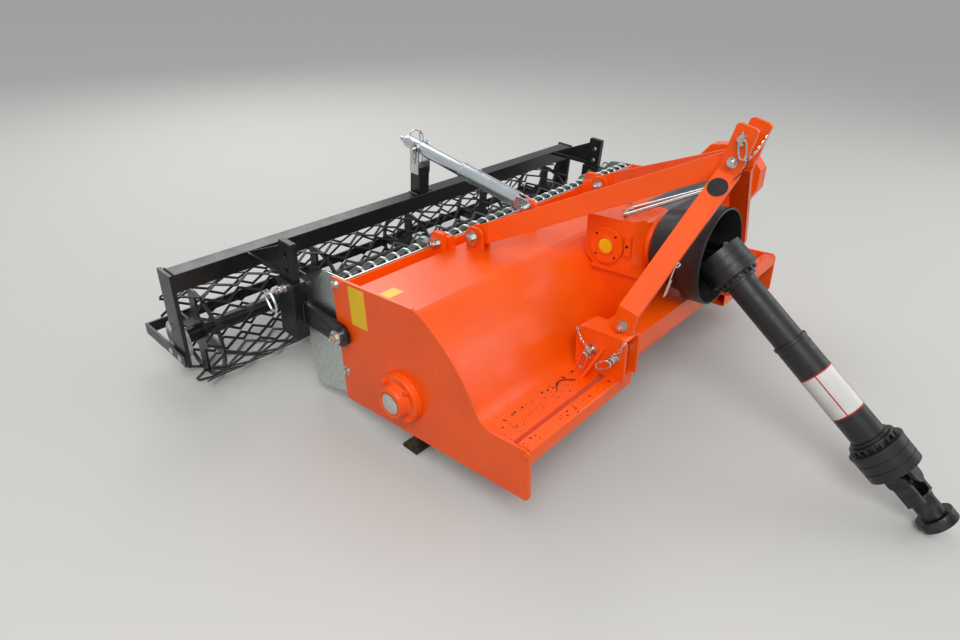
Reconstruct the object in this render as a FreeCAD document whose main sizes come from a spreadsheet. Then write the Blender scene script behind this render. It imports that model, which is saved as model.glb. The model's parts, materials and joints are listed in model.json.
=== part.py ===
import FreeCAD, Part
import math
import os
import Sketcher
from FreeCAD import Placement, Rotation, Vector

# Rotary tiller for a three-point linkage, with a comb and a mesh packer roller behind the rotor.
# Millimetres. Everything is drawn in the level frame of the machine: X to its left, Y to the rear
# from the front edge of the side plates, Z up from their bottom edge, X = 0 midway between the plates.
# Last, the whole machine is turned by the few degrees at which it stands on its rotor and roller.

doc = FreeCAD.newDocument("RotaryTiller")
sheet = doc.addObject("Spreadsheet::Sheet", "Sizes")

# alias, value, what it is
SIZES = (
    ("HalfWidth", 730, "machine centre to the outer face of a side plate"),
    ("PlateThick", 8, "side plate"),
    ("PlateLength", 664, "side plate, front to rear"),
    ("PlateHeight", 384, "side plate, bottom to top"),
    ("ShelfHeight", 144, "front part of the side plate"),
    ("HoodDrop", 12, "hood below the edge of the side plates"),
    ("HoodThick", 5, "hood sheet"),
    ("HoodArcY", 556, "centre of the hood's front curve"),
    ("HoodArcZ", 5, "centre of the hood's front curve"),
    ("HoodArcRadius", 435, "front curve at the plate's edge"),
    ("HoodFillet", 60, "hollow corner between shelf and front curve"),
    ("HoodCrownAngle", 121, "upper end of the front curve"),
    ("HoodFlatStart", 354, "where the flat top begins"),
    ("HoodRear", 571, "where the flat top ends"),
    ("TroughRear", 611, "rear wall of the trough behind the hood"),
    ("TroughLow", 330, "underside of that trough"),
    ("TroughTop", 380, "top of its rear wall"),
    ("ShelfFront", 62, "front lip of the shelf"),
    ("LipDepth", 36, "height of that lip"),
    ("PlateCorner", 15, "corners of the side plate"),
    ("FrontTubeSize", 42, "square tube across the front"),
    ("FrontTubeWall", 4, "its wall"),
    ("FrontTubeY", 1, "its front face"),
    ("FrontTubeZ", 102, "its underside"),
    ("RotorY", 410, "rotor axis"),
    ("RotorZ", 115, "rotor axis"),
    ("RotorRadius", 200, "rotor axis to the tip of a tine"),
    ("RotorTube", 45, "radius of the rotor tube"),
    ("RotorPlate", 105, "radius of a tine flange"),
    ("RotorFlanges", 8, "number of tine flanges"),
    ("RotorEnd", 85, "side plate to the end flange"),
    ("TineWide", 55, "width of a tine"),
    ("TineThick", 10, "thickness of a tine"),
    ("TineFoot", 62, "sideways reach of a tine's foot"),
    ("HubRadius", 72, "bearing flange on the side plate"),
    ("HubBoss", 43, "boss of that flange"),
    ("HubThick", 22, "bearing flange"),
    ("HubReach", 46, "boss out from the plate"),
    ("StubRadius", 24, "end of the rotor shaft"),
    ("BracketCentre", 325, "machine centre to the middle of a lower bracket"),
    ("BracketWide", 70, "lower bracket, outside"),
    ("BracketWall", 9, "its plates"),
    ("BracketFront", -12, "its front edge"),
    ("BracketRear", 134, "its rear edge"),
    ("BracketTop", 266, "its top"),
    ("BracketCorner", 20, "its upper corners"),
    ("LinkPinRadius", 11, "pin of the lower link"),
    ("LinkPinStep", 0.5, "its free end is slimmer"),
    ("LinkPinOut", 24, "pin beyond the outer plate"),
    ("LinkPinY", 16.5, "pin of the lower link"),
    ("LinkPinZ", 206, "pin of the lower link"),
    ("StopPinY", 85.5, "rear pin of the bracket"),
    ("StopPinZ", 206, "rear pin of the bracket"),
    ("ChannelFront", -8, "cross channel between the brackets"),
    ("ChannelRear", 100, "cross channel between the brackets"),
    ("ChannelTop", 250, "cross channel between the brackets"),
    ("ChannelLow", 194, "lower edge of the channel's front lip"),
    ("ChannelWall", 6, "its sheet"),
    ("MastLean", 15.66, "forward lean of the mast in degrees"),
    ("MastWide", 56, "flat bar of the mast"),
    ("MastThick", 12, "flat bar of the mast"),
    ("MastFootY", 24, "middle of the mast's foot"),
    ("MastFootRise", 67, "foot up to the lower bend"),
    ("MastBendRise", 370, "foot up to the upper bend"),
    ("MastHeadRise", 493, "foot up to the top"),
    ("MastCorner", 10, "corners of the head"),
    ("MastFootBolt", 8, "bolt of the mast's foot"),
    ("MastFootBoltRise", 20, "that bolt above the foot"),
    ("MastGap", 70, "between the two bars at the head"),
    ("TopPinRise", 463, "top link pin above the foot"),
    ("TopPinRadius", 9.5, "top link pin"),
    ("TopPinStep", 0.5, "its free end is slimmer"),
    ("TopPinOut", 16, "that pin beyond the bars"),
    ("MastBoltRise", 401, "bolt of the braces above the foot"),
    ("MastBoltRadius", 10, "bolt of the braces"),
    ("BraceWide", 62, "height of a brace"),
    ("BraceThick", 10, "thickness of a brace"),
    ("BraceEarY", 505, "rear bolt of a brace"),
    ("BraceEarZ", 414, "rear bolt of a brace"),
    ("EarThick", 8, "ears on the hood"),
    ("EarLong", 64, "ears on the hood"),
    ("EarTop", 442, "top of the ears"),
    ("DriveZ", 388, "height of the driven shaft"),
    ("BoxFront", 112, "front of the gearbox"),
    ("BoxRear", 285, "rear of the gearbox"),
    ("BoxRight", -100, "right face of the gearbox"),
    ("BoxLeft", 84, "left face of the gearbox"),
    ("BoxBottom", 322, "underside of the gearbox"),
    ("BoxTop", 466, "top of the gearbox"),
    ("BoxChamfer", 8, "its corners"),
    ("BoxShoulder", 186, "where the front corners start"),
    ("BoxCornerX", 91, "corner of the front, across"),
    ("BoxCornerY", 140, "corner of the front"),
    ("BoxNose", 55, "half width of the front face"),
    ("CoverY", 213, "round cover"),
    ("CoverZ", 387, "round cover"),
    ("CoverRadius", 52, "round cover"),
    ("CoverThick", 12, "round cover"),
    ("NeckRadius", 65, "neck round the driven shaft"),
    ("NeckFront", 70, "front end of that neck"),
    ("SplineRadius", 17.5, "splined shaft"),
    ("StandPlate", 8, "stand of the gearbox"),
    ("GuardRear", 82, "rear wall of the driveline guard"),
    ("GuardFront", -72, "mouth of the guard"),
    ("GuardRearRadius", 102, "guard at its rear wall"),
    ("GuardMouthRadius", 131, "guard at its mouth"),
    ("GuardWall", 4, "its wall"),
    ("SideTubeRadius", 44, "tube of the side drive"),
    ("SideTubeY", 222, "tube of the side drive"),
    ("SideTubeZ", 400, "tube of the side drive"),
    ("CaseThick", 52, "side drive case"),
    ("CaseCover", 6, "its cover plate"),
    ("HolderRod", 5, "radius of the rod that holds the driveline up"),
    ("HolderGap", 0.9, "its hooks below the bolt of the braces"),
    ("SheetThick", 3, "rear side sheet"),
    ("CombRodY", 636, "rod of the comb"),
    ("CombRodZ", 372, "rod of the comb"),
    ("CombRodRadius", 8.5, "rod of the comb"),
    ("CombTineRadius", 5, "tine of the comb"),
    ("CombTines", 34, "number of tines"),
    ("CombEnd", 26, "end of the rail to the first tine"),
    ("CombKneeY", 765, "where a comb tine bends down"),
    ("CombKneeZ", 305, "where a comb tine bends down"),
    ("CombTipY", 792, "lower end of a comb tine"),
    ("CombTipZ", 5, "lower end of a comb tine"),
    ("LugX", 395, "middle of a lug over the trough"),
    ("LugBoltY", 593, "bolt of the lugs"),
    ("LugBoltZ", 392, "bolt of the lugs"),
    ("LugTop", 425, "top of the lugs"),
    ("ArmPivotY", 635, "pivot of the roller arms"),
    ("ArmPivotZ", 222, "pivot of the roller arms"),
    ("ArmBolt", 10, "radius of the pivot bolt"),
    ("FrameTilt", 7, "roller frame, rear end up, in degrees"),
    ("SideGap", 5, "arm clear of the side plate"),
    ("ArmThick", 14, "roller arm"),
    ("ArmWide", 66, "roller arm"),
    ("SleeveFront", 158, "pivot to the sleeve"),
    ("SleeveLong", 78, "sleeve, front to rear"),
    ("SleeveWide", 42, "sleeve, across"),
    ("SleeveWall", 10, "its side walls"),
    ("SleeveEnd", 10, "its front and rear walls"),
    ("SleeveLow", -83, "its lower end"),
    ("SleeveTop", 97, "its upper end"),
    ("PostTop", 207, "top of the post in the sleeve"),
    ("PostLow", -76, "its lower end"),
    ("PostGap", 0.5, "post in its sleeve"),
    ("PostStep", 48, "from hole to hole in the post"),
    ("HeightPin", 9, "radius of the pin through sleeve and post"),
    ("HeightPinUp", 75, "that pin above the pivot"),
    ("BeamFront", 405, "pivot to the front of the roller beam"),
    ("BeamDeep", 54, "roller beam, front to rear"),
    ("BeamTop", 103, "top of the beam above the pivot"),
    ("BeamTall", 56, "roller beam, height"),
    ("BeamWall", 5, "its wall"),
    ("RollerRight", -998, "outer face of the right end plate"),
    ("RollerLeft", 898, "outer face of the left end plate"),
    ("EndPlateThick", 12, "end plate"),
    ("EndPlateFront", 405, "front edge of an end plate"),
    ("EndPlateWide", 72, "end plate"),
    ("EndPlateLow", -205, "bottom of an end plate"),
    ("DrumForward", 482.4, "pivot to the roller axis"),
    ("DrumDown", -146.7, "roller axis below the pivot"),
    ("DrumRadius", 152, "axis to the outside of the mesh"),
    ("DrumStrand", 4, "thickness of the mesh"),
    ("DrumGap", 26, "mesh to end plate"),
    ("DrumStrips", 22, "rows of mesh round the drum, an even number"),
    ("DrumDiamonds", 17, "meshes along the drum"),
    ("StrandWide", 9, "width of a strand"),
    ("AxleRadius", 24, "roller axle"),
    ("DiscThick", 8, "discs in the drum"),
    ("WheelRim", 12, "rims that carry the mesh"),
    ("WheelSpoke", 36, "spokes of those rims"),
    ("WheelHub", 60, "hub of those rims"),
    ("WheelInset", 42, "end rims in from the ends of the mesh"),
    ("BearingRadius", 62, "roller bearing"),
    ("BearingThick", 18, "roller bearing"),
    ("ScraperTall", 36, "flat bars of the scraper"),
    ("ScraperLow", -195, "lower edge of those bars"),
    ("ScraperThick", 8, "flat bars of the scraper"),
    ("ScraperRear", 650, "pivot to the rear of the scraper"),
    ("AdjusterX", -40, "adjuster tube across the machine"),
    ("AdjusterEarY", 545, "front pin of the adjuster"),
    ("AdjusterEarZ", 420, "front pin of the adjuster"),
    ("AdjusterEyeForward", 435.4, "rear pin of the adjuster, from the pivot"),
    ("AdjusterEyeUp", 267, "rear pin of the adjuster, above the pivot"),
    ("PostRise", 100, "post of the adjuster above the beam"),
    ("AdjusterRadius", 27, "outer tube"),
    ("AdjusterWall", 4, "outer tube"),
    ("AdjusterInner", 22.5, "radius of the inner tube"),
    ("AdjusterLong", 292, "outer tube from its pin"),
    ("AdjusterTail", 62, "inner tube beyond its pin"),
    ("AdjusterInnerLong", 330, "inner tube ahead of its pin"),
    ("AdjusterPin", 8, "radius of its pins"),
    ("JointY", -70, "rear joint of the driveline"),
    ("DriveAngle", 40, "driveline below the driven shaft, in degrees"),
    ("GuardTube", 40, "radius of the rear guard tube"),
    ("GuardTubeWall", 3, "wall of the guard tubes"),
    ("TubePlay", 0.6, "front guard tube over the rear one"),
    ("BellRadius", 67, "bell of the guard"),
    ("BellLong", 64, "bell of the guard"),
    ("BellStart", 6, "joint to the mouth of the bell"),
    ("YokeReach", 48, "joint to the hub of a yoke"),
    ("YokeHub", 14, "length of that hub"),
    ("YokeHubRadius", 32, "hub of a yoke"),
    ("RearTubeEnd", 470, "joint to the front end of the rear tube"),
    ("FrontTubeStart", 280, "joint to the rear end of the front tube"),
    ("FrontBellStart", 596, "joint to the front bell"),
    ("YokeWide", 38, "half width of a yoke"),
    ("CrossRadius", 9, "pins of a joint cross"),
    ("YokeEndRadius", 46, "collar at the front end"),
    ("PinPlay", 0.3, "pins in their holes"),
)
for row, (alias, value, note) in enumerate(SIZES, start=1):
    sheet.set("A%d" % row, note)
    sheet.set("B%d" % row, str(value))
    sheet.setAlias("B%d" % row, alias)
doc.recompute()


def size(alias):
    """The value of one cell."""
    return float(sheet.get(alias))


nodes = []


def cell(text):
    """Sizes.Alias for each word of the text that is an alias."""
    out = []
    for word in text.replace("(", " ( ").replace(")", " ) ").split():
        out.append("Sizes." + word if word[0].isalpha() and word not in ("sin", "cos") else word)
    return " ".join(out)


def edges_of(outline):
    """Lines and three-point arcs through an outline; ("arc", middle, end) bends to its end."""
    first = outline[0]
    here = first
    edges = []
    for item in list(outline[1:]) + [first]:
        if item[0] == "arc":
            edges.append((here, item[1], item[2]))
            here = item[2]
        elif math.dist(here, item) > 1e-6:
            edges.append((here, item))
            here = item
    return edges


PLANES = {"YZ": "YZ_Plane", "XZ": "XZ_Plane", "XY": "XY_Plane"}


def sketch_on(body, plane, outline, holes=()):
    """A closed sketch on one of the body's own planes."""
    sketch = body.newObject("Sketcher::SketchObject", body.Name + "Sketch")
    role = PLANES[plane]
    support = [f for f in body.Origin.OriginFeatures if f.Role == role][0]
    sketch.AttachmentSupport = [(support, "")]
    sketch.MapMode = "FlatFace"
    for points in edges_of(outline):
        corners = [Vector(a, b, 0) for a, b in points]
        if len(corners) == 2:
            sketch.addGeometry(Part.LineSegment(*corners))
        else:
            sketch.addGeometry(Part.Arc(*corners))
    for a, b, radius in holes:
        sketch.addGeometry(Part.Circle(Vector(a, b, 0), Vector(0, 0, 1), radius))
    return sketch


def plate(name, plane, outline, start, thick, holes=()):
    """A flat piece: its outline padded by thick along the plane's normal, from start."""
    body = doc.addObject("PartDesign::Body", name)
    sketch = sketch_on(body, plane, outline, holes)
    pad = body.newObject("PartDesign::Pad", name + "Pad")
    pad.Profile = sketch
    pad.setExpression("Length", cell(thick))
    axis = {"YZ": "x", "XZ": "y", "XY": "z"}[plane]
    body.setExpression("Placement.Base." + axis, cell(start))
    body.Tip = pad
    return body


def rounded(*corners):
    """An outline from corners of (y, z, radius); a radius of 0 leaves a corner sharp."""
    outline = []
    for number, (y, z, radius) in enumerate(corners):
        if not radius:
            outline.append((y, z))
            continue
        here = Vector(y, z, 0)
        before = (Vector(*corners[number - 1][:2], 0) - here).normalize()
        after = (Vector(*corners[(number + 1) % len(corners)][:2], 0) - here).normalize()
        half = math.acos(before.dot(after)) / 2
        start = here + before * (radius / math.tan(half))
        end = here + after * (radius / math.tan(half))
        middle = here + (before + after).normalize() * (radius / math.sin(half) - radius)
        outline.append((start.x, start.y))
        outline.append(("arc", (middle.x, middle.y), (end.x, end.y)))
    return outline


def turned(name, plane, outline, base=(0, 0, 0)):
    """A turned piece: the outline, along and out from the sketch's first axis, revolved about it."""
    body = doc.addObject("PartDesign::Body", name)
    sketch = sketch_on(body, plane, outline)
    turn = body.newObject("PartDesign::Revolution", name + "Turn")
    turn.Profile = sketch
    turn.ReferenceAxis = (sketch, ["H_Axis"])
    turn.Angle = 360
    body.Placement.Base = Vector(*base)
    body.Tip = turn
    return body


def box(name, corner, lengths):
    """A block from its low corner."""
    block = doc.addObject("Part::Box", name)
    for path, text in zip(("Length", "Width", "Height"), lengths):
        block.setExpression(path, cell(text))
    for axis, text in zip("xyz", corner):
        block.setExpression("Placement.Base." + axis, cell(text))
    return block


TURNS = {
    "x": Rotation(Vector(0, 1, 0), 90),
    "y": Rotation(Vector(1, 0, 0), -90),
    "z": Rotation(),
}


def rod(name, axis, start, length, radius):
    """A round bar along an axis, from its start."""
    bar = doc.addObject("Part::Cylinder", name)
    bar.Placement.Rotation = TURNS[axis]
    bar.setExpression("Radius", cell(radius))
    bar.setExpression("Height", cell(length))
    for letter, text in zip("xyz", start):
        bar.setExpression("Placement.Base." + letter, cell(text))
    return bar


def cut(name, base, *tools):
    """The base without the tools."""
    tool = tools[0] if len(tools) == 1 else fuse(name + "Tools", *tools)
    out = doc.addObject("Part::Cut", name)
    out.Base = base
    out.Tool = tool
    return out


def fuse(name, *pieces):
    """The pieces joined."""
    out = doc.addObject("Part::MultiFuse", name)
    out.Shapes = list(pieces)
    out.Refine = True
    return out


def common(name, *shapes):
    obj = doc.addObject("Part::MultiCommon", name)
    obj.Shapes = list(shapes)
    return obj


def raw(name, shape):
    """A piece that only a worked-out shape can make."""
    out = doc.addObject("Part::Feature", name)
    out.Shape = shape
    return out


def node(label, seat, *pieces):
    """One sub-part: its pieces side by side, set down at its seat."""
    out = doc.addObject("Part::Compound", label)
    out.Label = label
    out.Links = list(pieces)
    out.Placement = seat
    nodes.append(out)
    return out


def mirror_x(name, piece):
    """The same piece for the other side of the machine."""
    out = doc.addObject("Part::Mirroring", name)
    out.Source = piece
    out.Normal = Vector(1, 0, 0)
    return out


def polar(centre_a, centre_b, radius, degrees):
    """A point on a circle."""
    turn = math.radians(degrees)
    return (centre_a + radius * math.cos(turn), centre_b + radius * math.sin(turn))


# The attitude at which the machine stands: on the feet of two tines and on a flat of the roller.
tilt = math.radians(size("FrameTilt"))
drum_y = size("ArmPivotY") + size("DrumForward") * math.cos(tilt) - size("DrumDown") * math.sin(tilt)
drum_z = size("ArmPivotZ") + size("DrumForward") * math.sin(tilt) + size("DrumDown") * math.cos(tilt)
reach_y = drum_y - size("RotorY")
reach_z = drum_z - size("RotorZ")
drop = size("RotorRadius") - size("DrumRadius")
park = math.atan2(reach_z, reach_y) + math.asin(drop / math.hypot(reach_y, reach_z))
up_y = -math.sin(park)
up_z = math.cos(park)
floor = size("RotorY") * up_y + size("RotorZ") * up_z - size("RotorRadius")


def floor_height(y, z):
    """Height of a point of the level frame over the floor that the machine stands on."""
    return y * up_y + z * up_z - floor


drive = math.radians(size("DriveAngle"))
drive_fall = math.sin(drive - park)
drive_long = floor_height(size("JointY"), size("DriveZ")) / drive_fall
drive_long -= size("YokeEndRadius") / math.tan(drive - park)

adjuster_eye_y = (size("ArmPivotY") + size("AdjusterEyeForward") * math.cos(tilt)
                  - size("AdjusterEyeUp") * math.sin(tilt))
adjuster_eye_z = (size("ArmPivotZ") + size("AdjusterEyeForward") * math.sin(tilt)
                  + size("AdjusterEyeUp") * math.cos(tilt))
adjuster_run = adjuster_eye_y - size("AdjusterEarY")
adjuster_rise = adjuster_eye_z - size("AdjusterEarZ")
adjuster_reach = math.hypot(adjuster_run, adjuster_rise)
adjuster_angle = math.degrees(math.atan2(adjuster_rise, adjuster_run))


def along_floor(y, z):
    """Where a point of the level frame is along the floor, to the rear."""
    return y * up_z - z * up_y


# The origin is on the floor under the middle of the machine's box.
drive_end_y = size("JointY") - drive_long * math.cos(drive) - size("YokeEndRadius") * math.sin(drive)
drive_end_z = size("DriveZ") - drive_long * math.sin(drive) + size("YokeEndRadius") * math.cos(drive)
scraper_y = (size("ArmPivotY") + size("ScraperRear") * math.cos(tilt)
             - size("ScraperLow") * math.sin(tilt))
scraper_z = (size("ArmPivotZ") + size("ScraperRear") * math.sin(tilt)
             + size("ScraperLow") * math.cos(tilt))
origin_y = (along_floor(drive_end_y, drive_end_z) + along_floor(scraper_y, scraper_z)) / 2
origin_x = (size("RollerRight") + size("RollerLeft")) / 2
parked = Placement(Vector(-origin_x, -origin_y, -floor), Rotation(Vector(1, 0, 0), -math.degrees(park)))


def seat_at(y, z, degrees):
    """A seat turned about X at a point of the level frame, and parked."""
    return parked.multiply(Placement(Vector(0, y, z), Rotation(Vector(1, 0, 0), degrees)))


ON_MACHINE = seat_at(0, 0, 0)
ON_ROTOR = seat_at(size("RotorY"), size("RotorZ"), math.degrees(park))
ON_FRAME = seat_at(size("ArmPivotY"), size("ArmPivotZ"), size("FrameTilt"))
ON_DRUM = seat_at(drum_y, drum_z, math.degrees(park))
ON_ADJUSTER = seat_at(size("AdjusterEarY"), size("AdjusterEarZ"), adjuster_angle)
ON_DRIVELINE = seat_at(size("JointY"), size("DriveZ"), size("DriveAngle"))


# Side plates and hood

shelf_height = size("ShelfHeight")
hollow_z = shelf_height + size("HoodFillet")
hollow_reach = size("HoodArcRadius") + size("HoodFillet")
hollow_y = size("HoodArcY") - math.sqrt(hollow_reach ** 2 - (hollow_z - size("HoodArcZ")) ** 2)
foot_angle = math.degrees(math.atan2(hollow_z - size("HoodArcZ"), hollow_y - size("HoodArcY")))


def hood_line(drop_in):
    """The outline that hood and side plates share, moved inwards: shelf, front curve, flat top."""
    radius = size("HoodArcRadius") - drop_in
    hollow = size("HoodFillet") + drop_in
    centre = (size("HoodArcY"), size("HoodArcZ"))
    crown = size("HoodCrownAngle")
    hollow_middle = polar(hollow_y, hollow_z, hollow, (foot_angle - 270) / 2)
    return [
        (hollow_y, shelf_height - drop_in), ("arc", hollow_middle, polar(*centre, radius, foot_angle)),
        ("arc", polar(*centre, radius, (foot_angle + crown) / 2), polar(*centre, radius, crown)),
        (size("HoodFlatStart"), size("PlateHeight") - drop_in),
    ]


def backwards(line):
    """The same outline from its other end."""
    points = []
    after = None
    for item in reversed(line):
        if item[0] == "arc":
            points.append(item[2])
            after = item[1]
        elif after is not None:
            points.append(("arc", after, item))
            after = None
        else:
            points.append(item)
    return points


corner = size("PlateCorner")
plate_front = rounded((size("PlateLength"), 0, 0), (0, 0, corner), (0, shelf_height, corner),
                      (hollow_y, shelf_height, 0))
plate_outline = plate_front[:-1] + hood_line(0) + [(size("PlateLength") - 3, size("PlateHeight"))]
hub_hole = (size("RotorY"), size("RotorZ"), size("RotorTube") + 4)
arm_hole = (size("ArmPivotY"), size("ArmPivotZ"), size("ArmBolt"))
side_right = plate("SideRight", "YZ", plate_outline, "- HalfWidth", "PlateThick", [hub_hole, arm_hole])
side_left = plate("SideLeft", "YZ", plate_outline, "HalfWidth - PlateThick", "PlateThick",
                  [hub_hole, arm_hole])
node("side_plate_right", ON_MACHINE, side_right)
node("side_plate_left", ON_MACHINE, side_left)

shelf_top = size("ShelfHeight") - size("HoodDrop")
lip = [
    (size("ShelfFront") + size("HoodThick"), shelf_top - size("LipDepth")),
    (size("ShelfFront"), shelf_top - size("LipDepth")),
    (size("ShelfFront"), shelf_top),
]
thick = size("HoodThick")
flat = size("PlateHeight") - size("HoodDrop")
hood_rear = size("HoodRear")
wall_rear = size("TroughRear")
trough_low = size("TroughLow")
trough_top = size("TroughTop")
trough = [
    (hood_rear, flat), (hood_rear, trough_low + thick), (wall_rear - thick, trough_low + thick),
    (wall_rear - thick, trough_top), (wall_rear, trough_top), (wall_rear, trough_low),
    (hood_rear - thick, trough_low), (hood_rear - thick, flat - thick),
]
hood_outline = (lip + hood_line(size("HoodDrop")) + trough + backwards(hood_line(size("HoodDrop") + thick))
                + [(size("ShelfFront") + thick, shelf_top - thick)])
between_plates = ("PlateThick - HalfWidth", "2 * ( HalfWidth - PlateThick )")
hood = plate("Hood", "YZ", hood_outline, *between_plates)
node("hood_sheet", ON_MACHINE, hood)


def below_hood(name):
    """All that lies under the hood's upper face."""
    outline = [(size("ShelfFront"), 0)] + hood_line(size("HoodDrop")) + [(hood_rear, flat), (hood_rear, 0)]
    return plate(name, "YZ", outline, *between_plates)


tube_front = size("FrontTubeY")
tube_rear = tube_front + size("FrontTubeSize")
tube_low = size("FrontTubeZ")
tube_high = tube_low + size("FrontTubeSize")
tube_outline = rounded((tube_front, tube_low, 6), (tube_front, tube_high, 6), (tube_rear, tube_high, 6),
                       (tube_rear, tube_low, 6))
tube_long = "HalfWidth - PlateThick - BracketCentre + BracketWide / 2"
tubes = []
for side, start in (("Right", "PlateThick - HalfWidth"), ("Left", "BracketCentre - BracketWide / 2")):
    outer = plate("FrontOuter" + side, "YZ", tube_outline, start, tube_long)
    inner = box("FrontInner" + side, (start, "FrontTubeY + FrontTubeWall", "FrontTubeZ + FrontTubeWall"),
                (tube_long, "FrontTubeSize - 2 * FrontTubeWall", "FrontTubeSize - 2 * FrontTubeWall"))
    tubes.append(cut("FrontTube" + side, outer, inner))
node("front_tube", ON_MACHINE, *tubes)

sheet_front = size("TroughRear") + 2
sheet_outline = [
    (sheet_front, 40), (sheet_front, size("PlateHeight")), (690, 386), (712, 382), (806, 294),
    (820, 227), (831, 120), (817, -20), (684, 10), (640, 0),
]
sheet_right = plate("SheetRight", "YZ", sheet_outline, "PlateThick - HalfWidth", "SheetThick", [arm_hole])
sheet_left = plate("SheetLeft", "YZ", sheet_outline, "HalfWidth - PlateThick - SheetThick", "SheetThick",
                   [arm_hole])
node("rear_side_sheet_right", ON_MACHINE, sheet_right)
node("rear_side_sheet_left", ON_MACHINE, sheet_left)

# Cross channel, lower brackets and their pins

bracket_low = size("FrontTubeZ") + size("FrontTubeSize")
wall = size("ChannelWall")
channel_outline = [
    (size("ChannelFront"), size("ChannelLow")), (size("ChannelFront"), size("ChannelTop")),
    (size("ChannelRear"), size("ChannelTop")), (size("ChannelRear"), shelf_top),
    (size("ChannelRear") - wall, shelf_top), (size("ChannelRear") - wall, size("ChannelTop") - wall),
    (size("ChannelFront") + wall, size("ChannelTop") - wall),
    (size("ChannelFront") + wall, size("ChannelLow")),
]
channel = plate("Channel", "YZ", channel_outline, "BracketWide / 2 - BracketCentre",
                "2 * BracketCentre - BracketWide")
node("hitch_cross_channel", ON_MACHINE, channel)

corner = size("BracketCorner")
bracket_outline = rounded(
    (size("BracketFront"), bracket_low, 0), (size("BracketFront"), size("BracketTop"), corner),
    (size("BracketRear"), size("BracketTop"), corner), (size("BracketRear"), shelf_top, 0),
    (size("ShelfFront"), shelf_top, 0), (size("ShelfFront"), bracket_low, 0))
link_hole = size("LinkPinRadius")
link_holes = [
    (size("LinkPinY"), size("LinkPinZ"), link_hole),
    (size("StopPinY"), size("StopPinZ"), link_hole),
]
SIDES = (("right", -1), ("left", 1))
lean = math.radians(size("MastLean"))


def on_mast(rise):
    """The level y and z of a point on the mast's middle line."""
    return size("MastFootY") - rise * math.sin(lean), size("BracketTop") + rise * math.cos(lean)


ear_y, ear_z = on_mast(size("MastFootBoltRise"))
mast_ear = rounded((ear_y - 25, size("BracketTop"), 0), (ear_y - 25, ear_z + 28, 10),
                   (ear_y + 25, ear_z + 28, 10), (ear_y + 25, size("BracketTop"), 0))
mast_ear_hole = (ear_y, ear_z, size("MastFootBolt"))
# Rib outside the bracket: its points at the bracket's plate and at its foot on the shelf
RIB_HEAD = (45, 226)
RIB_FOOT = (88, 132)
RIB_OUT = 35
pins = []
for side, sign in SIDES:
    start = "%d * BracketCentre - BracketWide / 2" % sign
    whole = plate("Bracket" + side, "YZ", bracket_outline, start, "BracketWide", link_holes)
    hollow = box("BracketHollow" + side, (start + " + BracketWall", "BracketFront - 10", "0"),
                 ("BracketWide - 2 * BracketWall", "BracketRear - BracketFront + 20",
                  "BracketTop - BracketWall"))
    bare = cut("BracketCut" + side, whole, hollow, below_hood("BelowBracket" + side))
    plate_x = sign * (size("BracketCentre") + size("BracketWide") / 2)
    rib_points = [Vector(plate_x, *RIB_HEAD), Vector(plate_x, *RIB_FOOT),
                  Vector(plate_x + sign * RIB_OUT, *RIB_FOOT), Vector(plate_x, *RIB_HEAD)]
    rib = raw("BracketRib" + side, Part.Face(Part.makePolygon(rib_points)).extrude(Vector(0, 8, 0)))
    ear_start = "%d * ( BracketCentre - MastThick / 2 - 4 ) - 4" % sign
    ear = plate("MastEar" + side, "YZ", mast_ear, ear_start, "8", [mast_ear_hole])
    node("hitch_bracket_" + side, ON_MACHINE, fuse("BracketFuse" + side, bare, rib, ear))
    free_start = start + (" - LinkPinOut" if sign < 0 else " + BracketWide")
    for name, y, z in (("Link", "LinkPinY", "LinkPinZ"), ("Stop", "StopPinY", "StopPinZ")):
        free_end = rod(name + "PinEnd" + side, "x", (free_start, y, z), "LinkPinOut",
                       "LinkPinRadius - LinkPinStep")
        held = rod(name + "PinHeld" + side, "x", (start, y, z), "BracketWide", "LinkPinRadius")
        pins.append(fuse(name + "Pin" + side, free_end, held))
node("lower_link_pins", ON_MACHINE, *pins)

# Mast: two bent flat bars, the pins at its head and the braces

foot_x = -size("BracketCentre")
head_x = -(size("MastGap") + size("MastThick")) / 2
half = size("MastThick") / 2
slope = math.atan2(head_x - foot_x, size("MastBendRise") - size("MastFootRise"))
shift = half * math.tan(slope / 2)
foot_low = -size("MastWide") * math.tan(math.radians(size("MastLean")))
mast_outline = [
    (foot_x - half, foot_low), (foot_x - half, size("MastFootRise") + shift),
    (head_x - half, size("MastBendRise") + shift), (head_x - half, size("MastHeadRise")),
    (head_x + half, size("MastHeadRise")), (head_x + half, size("MastBendRise") - shift),
    (foot_x + half, size("MastFootRise") - shift), (foot_x + half, foot_low),
]
LEANING = seat_at(size("MastFootY"), size("BracketTop"), size("MastLean"))
mast_strip = plate("MastStrip", "XZ", mast_outline, "MastWide / 2", "MastWide")
bar_half = size("MastWide") / 2
corner = size("MastCorner")
mast_side = rounded((-bar_half, foot_low, 0), (-bar_half, size("MastHeadRise"), corner),
                    (bar_half, size("MastHeadRise"), corner), (bar_half, foot_low, 0))
mast_slab = plate("MastSlab", "YZ", mast_side, "- 2 * BracketCentre", "4 * BracketCentre")
mast_bar = common("MastBar", mast_strip, mast_slab)
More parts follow.
